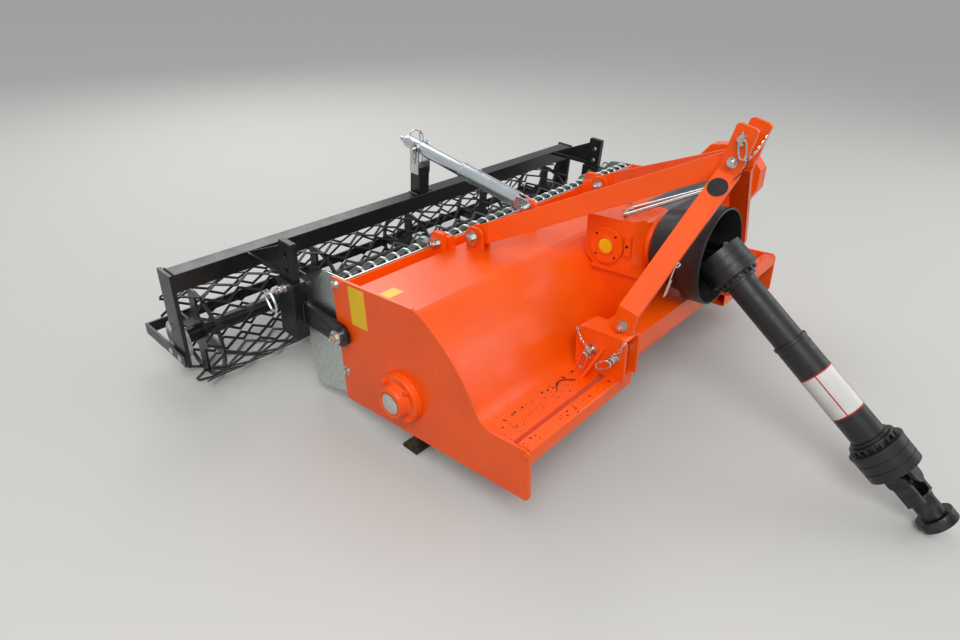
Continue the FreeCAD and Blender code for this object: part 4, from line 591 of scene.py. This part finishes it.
CORNER_DOME = [(-1, 0), (-1, 6.5), (1.2, 6), (3, 3.6), (3.4, 0)]
chassis_bolts = []
painted_bolts = []
for sign in (-1, 1):
    outward = (sign, 0, 0)
    for y, z in ((645, 367), (648, 98)):
        chassis_bolts += bolt((sign * HALF, y, z), outward, 8.5)
    painted_bolts.append(lathe((sign * HALF, 11, 129), outward, CORNER_DOME, 20))
    chassis_bolts += nut_end((sign * 760, 635, 222), outward, 12)
    chassis_bolts += bolt((sign * 353, 505, 414), outward, 13)
    chassis_bolts += nut_end((sign * 297, 505, 414), (-sign, 0, 0), 12)
    chassis_bolts += nut_end((sign * 405, 593, 392), outward, 9)
    chassis_bolts += bolt((sign * 385, 593, 392), (-sign, 0, 0), 10, 1.5)
for turn in (45, 135, 225, 315):
    y = ROTOR_Y + 59.5 * math.cos(math.radians(turn))
    z = ROTOR_Z + 59.5 * math.sin(math.radians(turn))
    painted_bolts += bolt((-752, y, z), TO_RIGHT, 7.5, 1.3)
for x in (-70, 54):
    for y in (124, 262):
        painted_bolts += bolt((x, y, 313), (0, 0, -1), 9)
build("chassis_bolts", "chassis", BRIGHT, chassis_bolts)
build("painted_bolts", "chassis", ORANGE, painted_bolts)

mast_bolts = [*bolt((-48, 0, 401), TO_RIGHT, 10.5, 1.3), *nut_end((48, 0, 401), X_AXIS, 10.5)]
for sign in (-1, 1):
    mast_bolts += nut_end((sign * 331, 0, 20), (sign, 0, 0), 10)
    mast_bolts += bolt((sign * 311, 0, 20), (-sign, 0, 0), 10)
build("mast_bolts", "chassis", BRIGHT, mast_bolts, MAST)

# Rotor end: a bright dome in the painted rim of its bearing's boss

shaft_dome = [(0, 0), (0, 29), (2, 29), (5, 24), (7, 14), (7.6, 0)]
build("rotor_end", "rotor", BRIGHT, [lathe((-776.3, 0, 0), TO_RIGHT, shaft_dome, 32)], ROTOR_FRAME)
rim = [(-1, 33), (2, 33), (5, 36), (5, 40), (3, 42.5), (-1, 42.5)]
build("boss_rim", "chassis", ORANGE, [lathe((-775, ROTOR_Y, ROTOR_Z), TO_RIGHT, rim, 40, True)])

# Gearbox: a raised ring on its cover, two collars round its neck, screws, plugs and a breather

COVER_Y, COVER_Z = 213, 387
build("gearbox_ribs", "chassis", ORANGE, [
    lathe((-112, COVER_Y, COVER_Z), TO_RIGHT,
          [(-2, 24), (2.5, 24), (3.5, 26), (2.5, 28), (-2, 28)], 40, True),
    lathe((0, 108, DRIVE_Z), FORWARD, [(-4, 64), (-4, 76), (3, 77), (8, 75), (9, 64)], 48, True),
    lathe((0, 90, DRIVE_Z), FORWARD, [(-4, 64), (-4, 71), (3, 71), (4, 64)], 48, True),
    slab((20, 200, 465), X_AXIS, Y_AXIS, oblong(100, 26), 5, 1.5),
])
SCREW_STEP = 30.7
screw_head = [(0, 0), (0, 3.6), (1.4, 3.4), (1.4, 0)]
socket_screws = []
for dz in (-SCREW_STEP, SCREW_STEP):
    for dy in (-SCREW_STEP, SCREW_STEP):
        at = (-111.5, COVER_Y + dy, COVER_Z + dz)
        socket_screws.append(lathe(at, TO_RIGHT, screw_head, 12))
big_head = [(0, 0), (0, 4.5), (1.6, 4.2), (1.6, 0)]
socket_screws.append(lathe((-101.5, 151, 394), TO_RIGHT, big_head, 12))
build("gearbox_screws", "chassis", SIGN_BLACK, socket_screws)
plugs = []
for at, along in (((50, 240, 466), Z_AXIS), ((10, 285, 400), Y_AXIS), ((10, 285, 345), Y_AXIS)):
    plugs += bolt(at, along, 11, 1.25)
plugs.append(lathe((50, 240, 478), Z_AXIS, [(0, 5), (4, 5), (5, 9), (12, 9), (15, 6), (16, 0)], 20))
build("gearbox_plugs", "chassis", BRIGHT, plugs)

# Blank plates in place of the signs

build("yellow_signs", "chassis", YELLOW, [
    slab((-HALF, 561, 320), FORWARD, Z_AXIS, oblong(64, 112), 0.8, 0.3),
    slab((-684, 476, HOOD_TOP), X_AXIS, Y_AXIS, oblong(52, 40), 0.8, 0.3),
    slab((-112, COVER_Y, COVER_Z), FORWARD, Z_AXIS, disc(21.5), 1.0, 0.3),
])
# The mast bar leans inwards: along its face, and out of it
bar_along = unit((284, 0, 303))
bar_out = unit((-303, 0, 284))
sign_at = np.array((-71.5, 0, 337.5)) + bar_out * 6
build("black_sign", "chassis", SIGN_BLACK, [slab(sign_at, bar_along, Y_AXIS, disc(25), 0.9, 0.3)], MAST)

# Pins of the three-point linkage: collars, lock pins and their chains

COLLAR = [(-1, 0), (-1, 17), (6, 17), (8, 15), (8, 0)]
WASHER = [(0, 0), (0, 15), (1.5, 15), (1.5, 0)]
LOCK_X = 374
pins = []
chains = []
for sign in (-1, 1):
    outward = (sign, 0, 0)
    for y in (LINK_FRONT_Y, LINK_REAR_Y):
        pins.append(lathe((sign * BRACKET_IN, y, LINK_Z), (-sign, 0, 0), COLLAR, 24))
        pins.append(lathe((sign * BRACKET_OUT, y, LINK_Z), outward, WASHER, 24))
    pins += linch_pin((sign * LOCK_X, LINK_FRONT_Y, LINK_Z), (0, -0.3, 1),
                      (sign * 15, 15, -12), (0, 1, -0.6), (0, 0.6, 1))
    pins += linch_pin((sign * LOCK_X, LINK_REAR_Y, LINK_Z), (0, 0.35, 1),
                      (sign * 15, 6, -21), (0, 0.25, -1), (0, 1, 0.25))
    chains += chain((sign * LOCK_X, 92, 222), (sign * 364, 128, 252), 9)
    chains += chain((sign * LOCK_X, 10, 224), (sign * 364, -6, 254), 6)
    for y, z in ((130, 254), (-7, 256)):
        chains.append(ring((sign * 363, y, z), (0, 1, 0.3), 5, 1.3))
        pins += bolt((sign * BRACKET_OUT, y, z), outward, 4.5, 1.2)
build("link_lock_pins", "chassis", BRIGHT, pins)
build("link_chains", "chassis", BRIGHT, chains)

# Mast: the top pin's lock pin and chain, and a short dark cord

top_lock = linch_pin((-55, 0, 463), (0, -0.25, -1), (-9, -14, -19), (0, -0.45, -1), (0, 1, -0.45))
top_lock += chain((-62, -27, 424), (30, -31, 472), 24)
build("mast_lock_pin", "chassis", BRIGHT, top_lock, MAST)
cord = [(-44, -30, 424), (-40, -33, 405), (-44, -31, 388), (-56, -27, 376), (-66, -24, 372)]
build("mast_cord", "chassis", SIGN_BLACK, [tube(softened(cord), 1.3, 8)], MAST)

# A wire clip on the right mast bar
clip = [(-232, -59, 431), (-226, -66, 437), (-222, -58, 442), (-224, -52, 430), (-230, -44, 388),
        (-236, -38, 352), (-232, -32, 344), (-227, -38, 350), (-225, -47, 392)]
build("spring_clip", "chassis", BRIGHT, [tube(softened(clip, times=2), 1.8, 8)])

# Joint guard: rolled lip, the broad band behind it and fixing screws

LIP = [(1.5, 127), (3.0, 129.5), (1.5, 132), (-3, 132.5), (-5, 131), (-3, 127)]
BAND = [(16, 114), (16, 131), (18, 132.5), (70, 132.5), (71, 128)]
build("guard_rim", "chassis", PLASTIC, [
    lathe((0, -72, DRIVE_Z), FORWARD, LIP, 64, True),
    lathe((0, 0, DRIVE_Z), FORWARD, BAND, 64, True),
])
SCREW_CIRCLE = 84
screws = []
for turn in range(0, 360, 60):
    x = SCREW_CIRCLE * math.cos(math.radians(turn))
    z = SCREW_CIRCLE * math.sin(math.radians(turn))
    screws += bolt((x, 78, DRIVE_Z + z), FORWARD, 6.5, 1.5)
build("guard_screws", "chassis", BRIGHT, screws)

# Side drive: bolts just inside its cover's edge, two plugs, bosses, a raised rib and tube collars

# Outline of the case as (y, z)
CASE = np.array([(487, 398), (363, 432), (302, 504), (243, 511), (143, 478), (108, 437), (110, 365),
                 (153, 297), (300, 60), (350, 22), (470, 22), (520, 70), (520, 200)], float)
edge_line = spaced(np.vstack([CASE, CASE[:1]]), 10)
to_middle = CASE.mean(0) - edge_line
bolt_line = edge_line + to_middle / np.linalg.norm(to_middle, axis=1, keepdims=True) * 17
case_bolts = []
for y, z in spaced(bolt_line, 86)[:-1]:
    case_bolts += bolt((CASE_FACE, y, z), X_AXIS, 7, 1.3)
for y, z in ((SHAFT_Y, SHAFT_Z), (ROTOR_Y, ROTOR_Z)):
    case_bolts += bolt((792, y, z), X_AXIS, 13, 1.2)
build("case_bolts", "chassis", BRIGHT, case_bolts)
build("case_bosses", "chassis", ORANGE, [
    lathe((CASE_FACE, SHAFT_Y, SHAFT_Z), X_AXIS, [(-1, 0), (-1, 62), (2, 60), (4, 54), (4, 0)], 40),
    lathe((CASE_FACE, ROTOR_Y, ROTOR_Z), X_AXIS, [(-1, 0), (-1, 66), (2, 64), (4, 58), (4, 0)], 40),
    tube(at_x(CASE_FACE, [(262, 300), (350, 170)]), 5, 10),
])
build("side_tube_collars", "chassis", ORANGE, [
    lathe((84, SHAFT_Y, SHAFT_Z), X_AXIS,
          [(-2, 40), (-2, 60), (9, 60), (11, 58), (11, 40)], 40, True),
    lathe((722, SHAFT_Y, SHAFT_Z), TO_RIGHT,
          [(-2, 40), (-2, 66), (7, 66), (9, 64), (9, 40)], 40, True),
])

# Driveline: grooved bells with toothed collars, seam rings, a blank sleeve and joint caps

START = (0, 0, 0)


def bell(lip, inward):
    """Sleeve of a bell from its lip inwards, and behind it a ring of square teeth and a collar."""
    sleeve = [(72, 62), (74, 68), (51, 68.3), (50.6, 66.9), (48.4, 66.9), (48, 68.5), (27, 68.8),
              (26.6, 67.3), (24.4, 67.3), (24, 69), (6, 69.4), (5.6, 71), (0, 71), (-1, 70), (-1, 60),
              (70, 64.2)]
    collar = [(-1, 42), (-1, 53), (-15, 53), (-15, 58.5), (-18, 58), (-18, 49), (-26, 49), (-27, 47),
              (-27, 42)]
    teeth = []
    for turn in np.radians(np.arange(0, 360, 20)):
        out = np.array((math.cos(turn), 0, math.sin(turn)))
        at = out * 51 + Y_AXIS * (inward * -8 - lip)
        teeth.append(slab(at, np.cross(Y_AXIS, out), Y_AXIS, oblong(9, 14.5), 8.5, 0.7))
    return [lathe((0, -lip, 0), (0, inward, 0), sleeve, 64, True),
            lathe((0, -lip, 0), (0, inward, 0), collar, 48, True), *teeth]


build("rear_bell", "driveline_rear", PLASTIC, bell(61, 1) + [
    lathe(START, FORWARD, [(107, 39), (107, 41.2), (109, 41.2), (109, 39)], 40, True)], DRIVELINE)
build("front_bell", "driveline_front", PLASTIC, bell(608, -1) + [
    lathe(START, FORWARD, [(281, 43), (281, 46), (289, 46), (291, 43)], 40, True),
    lathe(START, FORWARD, [(306, 43), (306, 44.6), (308, 44.6), (308, 43)], 40, True)], DRIVELINE)

# The sleeve's two ends along the driveline and its two radii; its red edges stand 0.3 mm higher
SIGN_FROM, SIGN_TO, SIGN_IN, SIGN_OUT = 381, 507, 43, 44.2
EDGE_WIDE = 3.5
sleeve = [(SIGN_FROM, SIGN_IN), (SIGN_FROM, SIGN_OUT), (SIGN_TO, SIGN_OUT), (SIGN_TO, SIGN_IN)]
build("driveline_sign", "driveline_front", PALE_SIGN, [lathe(START, FORWARD, sleeve, 48, True)], DRIVELINE)
edge = [(0, SIGN_IN), (0, SIGN_OUT + 0.3), (EDGE_WIDE, SIGN_OUT + 0.3), (EDGE_WIDE, SIGN_IN)]
edges = []
for start in (SIGN_FROM, SIGN_TO - EDGE_WIDE):
    edges.append(lathe((0, -start, 0), FORWARD, edge, 48, True))
for turn in np.radians((70, 160, 250, 340)):
    outward = np.array((math.cos(turn), 0, math.sin(turn)))
    sideways = np.array((-math.sin(turn), 0, math.cos(turn)))
    middle = outward * (SIGN_OUT - 0.3) - Y_AXIS * (SIGN_FROM + SIGN_TO) / 2
    edges.append(slab(middle, Y_AXIS, sideways, oblong(SIGN_TO - SIGN_FROM - 2, 3), 0.7, 0.2))
build("driveline_sign_edges", "driveline_front", RED, edges, DRIVELINE)
CAP = [(-3, 0), (-3, 13), (0.5, 13), (1.5, 11), (1.5, 0)]
CAP_OUT = 38
joint_at = np.array((0, -70, DRIVE_Z))
joint_caps = []
stub_caps = []
for side in (1, -1):
    joint_caps.append(lathe(side * Z_AXIS * CAP_OUT, side * Z_AXIS, CAP, 24))
    stub_caps.append(lathe(joint_at + side * X_AXIS * CAP_OUT, side * X_AXIS, CAP, 24))
build("rear_joint_caps", "driveline_rear", BRIGHT, joint_caps, DRIVELINE)
build("stub_joint_caps", "chassis", BRIGHT, stub_caps)

# Adjuster: nuts of its front bolt, a raised seam, the tapered tail, and the rear pin with its clip

adjuster_ends = []
for side in (-1, 1):
    x = ADJUSTER_X + side * 16
    outward = (side, 0, 0)
    adjuster_ends.append(lathe((x, 545, 420), outward, [(0, 8), (0, 15), (2.5, 15), (2.5, 8)], 24, True))
    adjuster_ends += nut_end((x + side * 3, 545, 420), outward, 9.5)
build("adjuster_front_bolt", "chassis", BRIGHT, adjuster_ends)

build("adjuster_seam", "adjuster_outer", TUBE_ZINC, [
    lathe((ADJUSTER_X, 0, 0), Y_AXIS, [(284, 25), (284, 27.8), (293, 27.8), (293.5, 25)], 40, True),
    *bolt((ADJUSTER_X, 216, 26), Z_AXIS, 5.5, 1.2)], ADJUSTER)
tail = [(0, 0), (0, 22), (3, 22.4), (22, 13), (26, 9.5), (38, 8.8), (40, 7.5), (40, 0)]
build("adjuster_tail", "adjuster_inner", TUBE_ZINC, [lathe((ADJUSTER_X, 562, 0), Y_AXIS, tail, 32)],
      ADJUSTER)

pin_washer = [(-8.5, 8), (-8.5, 14), (-6, 14), (-6, 8)]
rear_pin = []
for side in (-1, 1):
    rear_pin.append(lathe((side * 42.5 + ADJUSTER_X, 435.4, 267), (side, 0, 0), pin_washer, 20, True))
rear_clip = [(-80, 430, 262), (-80, 440, 272), (-77, 452, 298), (-66, 458, 318), (-46, 458, 326),
             (-26, 454, 322), (-16, 452, 306)]
rear_pin.append(tube(softened(rear_clip), 2.5, 8))
rear_pin.append(oval((-15, 455, 292), (0, 0.3, 1), (0, 1, -0.3), 20, 8, 2.4))
rear_pin += chain((-79, 432, 258), (-65, 430, 208), 7)
rear_pin += bolt((-63, 436, 190), TO_RIGHT, 5.5, 1.4)
build("adjuster_rear_clip", "roller_frame", BRIGHT, rear_pin, ROLLER_FRAME)

# Roller frame: height pins with ring handles, post caps, low bolt heads on the ends, and welds

HEAD = [(-1, 0), (-1, 10.5), (6, 10.5), (7.6, 8.6), (7.6, 0)]
DOME = [(-1, 0), (-1, 10.5), (0.6, 10.5), (1.8, 8), (2.6, 4), (2.8, 0)]
PIN_TAIL = [(0, 0), (0, 7.5), (10, 7.5), (12, 5), (39, 5), (40, 0)]
POST_X = 756
PLATE_RIGHT, PLATE_LEFT, PLATE_THICK = -998, 898, 8
frame_pins = []
frame_bolts = []
frame_welds = []
post_caps = []
for sign in (-1, 1):
    middle = sign * POST_X
    outward = (sign, 0, 0)
    frame_pins.append(lathe((sign * 797, 197, 75), outward, PIN_TAIL, 20))
    frame_pins.append(lathe((sign * 778, 197, 75), outward, [(0, 9), (0, 14), (3, 14), (3, 9)], 20, True))
    frame_pins.append(oval((sign * 838, 173, 68), (0, 0.6, 0.8), (0, -0.8, 0.6), 31, 18, 3.6))
    post_caps.append(slab((middle, 197, 207), X_AXIS, Y_AXIS, oblong(19, 55), 4, 1.2))
    plate_x = PLATE_RIGHT if sign < 0 else PLATE_LEFT
    arm_x = plate_x + sign * PLATE_THICK
    frame_bolts.append(lathe((plate_x, 460, -84), outward, HEAD, 6))
    for y in (436, 489):
        frame_bolts.append(lathe((arm_x, y, -180), outward, DOME, 20))
    inner_x = plate_x - sign * 13
    frame_welds += [weld([(inner_x, 406, 104), (inner_x, 458, 104)], 2.8),
                    weld([(inner_x, 404, 100), (inner_x, 404, 50)], 2.8),
                    weld([(middle, 404, 90), (middle, 404, 104)], 3),
                    weld([(middle - 12, 227, 110), (middle + 12, 227, 110)], 2.8),
                    weld([(middle - 4, 228, 112), (middle - 4, 228, 188)], 2.2),
                    weld([(sign * 751, 156.5, -30), (sign * 751, 156.5, 30)], 3)]
for x in (-72, 0):
    frame_welds.append(weld([(x, 412, 104), (x, 458, 104)], 2.6))
build("height_pin_handles", "roller_frame", BRIGHT, frame_pins, ROLLER_FRAME)
build("roller_frame_bolts", "roller_frame", BRIGHT, frame_bolts, ROLLER_FRAME)
build("roller_frame_welds", "roller_frame", BLACK, frame_welds, ROLLER_FRAME)
build("post_caps", "roller_frame", PLASTIC, post_caps, ROLLER_FRAME)

# Soil: crumbs along the crease of the hood, on its shelf and on the front tube, and a twig

def scatter(seed, count, stretch_x, near_y, spread):
    """Places by chance: x even over a stretch, y falling off like a bell to both sides of a line."""
    chance = np.random.default_rng(seed)
    return zip(chance.uniform(*sorted(stretch_x), count), chance.normal(near_y, spread, count),
               chance.uniform(0, 1, count))


def crumb(at, size, turn):
    """A lump: a lathe of five rings with seven corners, times a wave round it, squashed and turned.

    The wave is 1 plus 0.28 and 0.12 of two sines of the corner's number.
    """
    points, _, _ = lathe((0, 0, 0), Z_AXIS, [(0, 0), (0.1, 0.8), (0.45, 1), (0.75, 0.6), (0.85, 0)], 7)
    corner = np.arange(7)
    wave = 1 + 0.28 * np.sin(corner * 2.4 + turn) + 0.12 * np.sin(corner * 4.1 + 2 * turn)
    lump = points * np.array((1.0, 0.65, 0.7)) * wave[None, :, None]
    swing = np.array(Matrix.Rotation(-turn, 3, "Z"))
    return lump @ swing * size + np.array(at, float), False, True


# Where crumbs lie, row by row: middle and spread in y, how many, and the biggest
CRUMB_ROWS = ((124, 3, 60, 3.4), (95, 16, 120, 1.9), (150, 18, 30, 1.3), (22, 9, 60, 2.8))
# Their limits: x to either side, y on the front tube, y where the shelf begins, and how deep they sit
CRUMBS_IN, CRUMBS_OUT = 372, 712
TUBE_FRONT, TUBE_REAR, SHELF_FRONT = 4, 40, 64
SUNK = 0.2
crumbs = []
for side in (-1, 1):
    for number, (middle, spread, many, biggest) in enumerate(CRUMB_ROWS):
        seed = number + 10 * side + 20
        stretch = (side * CRUMBS_OUT, side * CRUMBS_IN)
        for x, y, luck in scatter(seed, many, stretch, middle, spread):
            on_tube = middle < TUBE_REAR
            y = min(max(y, TUBE_FRONT), TUBE_REAR) if on_tube else max(y, SHELF_FRONT)
            under = TUBE_TOP if on_tube else np.interp(y, *HOOD_LINE.T)
            crumbs.append(crumb((x, y, under - SUNK), 0.8 + biggest * luck ** 3, x))
twig = [(x, y, np.interp(y, *HOOD_LINE.T) + 1.6)
        for x, y in ((-478, 108), (-462, 121), (-440, 124), (-424, 115), (-410, 99))]
build("soil_crumbs", "chassis", SOIL, crumbs + [tube(softened(twig, times=2), 1.3, 6)])

# Rotor: two bolts through every tine

# Flanges stand evenly from end to end, each a sixteenth of a turn on from the one outside it
FLANGES, FLANGE_END = 8, 645
# A tine's two bolts: from the axis, to either side of the tine's middle, from the flange's middle to
# the head, and from the head to the nut
BOLT_OUT, BOLT_STEP, HEAD_AT, THROUGH = 86, 13, 15, 20
tine_bolts = []
for number in range(FLANGES):
    middle = -FLANGE_END + number * 2 * FLANGE_END / (FLANGES - 1)
    phase = min(number, FLANGES - 1 - number) * 22.5
    for quarter in range(4):
        turn = math.radians(180 + phase + 90 * quarter)
        out = np.array((0, -math.sin(turn), math.cos(turn)))
        sideways = np.array((0, math.cos(turn), math.sin(turn)))
        for step in (-BOLT_STEP, BOLT_STEP):
            side = 1 if quarter % 2 else -1
            at = (middle + side * HEAD_AT) * X_AXIS + out * BOLT_OUT + sideways * step
            tine_bolts += bolt(at, (side, 0, 0), 8.5, 1.25)
            tine_bolts += nut_end(at - side * THROUGH * X_AXIS, (-side, 0, 0), 8)
build("tine_bolts", "rotor", WORN, tine_bolts, ROTOR_FRAME)


# Floor, light and camera

def floor_material():
    """Studio floor.

    Colour: a pale grey to rays from the camera, off mirrors and through clear things, a darker one
    to the rest, so it throws less light up. Roughness: 0.82 to 0.9 by clouds 300 mm across.
    """
    made, tree, shader, place = material("studio_floor")
    camera_ray = add(tree, "LightPath", "Is Camera Ray", {})
    glossy_ray = add(tree, "LightPath", "Is Glossy Ray", {})
    pass_ray = add(tree, "LightPath", "Is Transmission Ray", {})
    seen = add(tree, "Math", "Value", {"Value": camera_ray, "Value_001": glossy_ray}, operation="ADD")
    seen = add(tree, "Math", "Value", {
        "Value": seen, "Value_001": pass_ray}, operation="ADD", use_clamp=True)
    tree.links.new(add(tree, "Mix", "Result_Color", {
        "Factor_Float": seen, "A_Color": linear("#8C8C8A"), "B_Color": linear("#C9C8C4")},
        data_type="RGBA"), shader["Base Color"])
    cloud = add(tree, "TexNoise", "Fac", {"Vector": place, "Scale": cells(300), "Detail": 3})
    tree.links.new(add(tree, "MapRange", "Result", {"Value": cloud, "From Min": 0.3, "From Max": 0.7,
                                                    "To Min": 0.82, "To Max": 0.9}), shader["Roughness"])
    return made


def sheet(name, corners):
    """A flat four-cornered surface."""
    made = bpy.data.meshes.new(name)
    made.from_pydata(corners, [], [(0, 1, 2, 3)])
    piece = bpy.data.objects.new(name, made)
    bpy.context.scene.collection.objects.link(piece)
    return piece


REACH = 30
floor = sheet("studio_floor", [
    (-REACH, -REACH, 0), (REACH, -REACH, 0), (REACH, REACH, 0), (-REACH, REACH, 0)])
floor.data.materials.append(floor_material())

world = bpy.data.worlds.new("studio")
world.use_nodes = True
bpy.context.scene.world = world
sky = world.node_tree.nodes["Background"]
sky.inputs["Color"].default_value = linear("#F4F6F8")
sky.inputs["Strength"].default_value = 0.62


def lamp(name, place, aim, size, power):
    """A soft square light at a point in metres, aimed at another."""
    data = bpy.data.lights.new(name, "AREA")
    data.shape = "SQUARE"
    data.size = size
    data.energy = power
    made = bpy.data.objects.new(name, data)
    made.location = place
    made.rotation_euler = (Vector(aim) - Vector(place)).to_track_quat("-Z", "Y").to_euler()
    bpy.context.scene.collection.objects.link(made)


lamp("key_light", (-2.6, -1.8, 3.6), (0, 0.1, 0.3), 2.4, 105)
lamp("fill_light", (3.2, -2.4, 2.4), (0, 0, 0.3), 2.8, 45)
lamp("back_light", (0.8, 3.4, 2.8), (0, 0.2, 0.4), 2.4, 55)

# Camera: its place in the level frame in metres, and how its view turns, drops and rolls. These
# angles are from a level that the level frame itself leans from by LEAN.
CAMERA_AT = (-1.610, -0.681, 1.060)
HEADING, DROP, ROLL = math.radians(-48.4), math.radians(29.7), math.radians(0.65)
back = Vector((math.sin(HEADING) * math.cos(DROP), -math.cos(HEADING) * math.cos(DROP), math.sin(DROP)))
level_right = Vector((math.cos(HEADING), math.sin(HEADING), 0))
level_up = back.cross(level_right)
right = math.cos(ROLL) * level_right + math.sin(ROLL) * level_up
up = math.cos(ROLL) * level_up - math.sin(ROLL) * level_right
LEAN = math.asin(0.0502)
lean = Matrix.Rotation(LEAN, 3, "X")
turned = Matrix((lean @ right, lean @ up, lean @ back)).transposed()
camera_data = bpy.data.cameras.new("camera")
camera_data.sensor_width = 36
camera_data.lens = 24.2
camera_data.clip_end = 200
camera = bpy.data.objects.new("camera", camera_data)
camera.matrix_world = (Matrix.Translation(MACHINE @ Vector(CAMERA_AT))
                       @ (MACHINE.to_3x3() @ turned).to_4x4())
bpy.context.scene.collection.objects.link(camera)
bpy.context.scene.camera = camera
bpy.context.scene.view_settings.view_transform = "Standard"
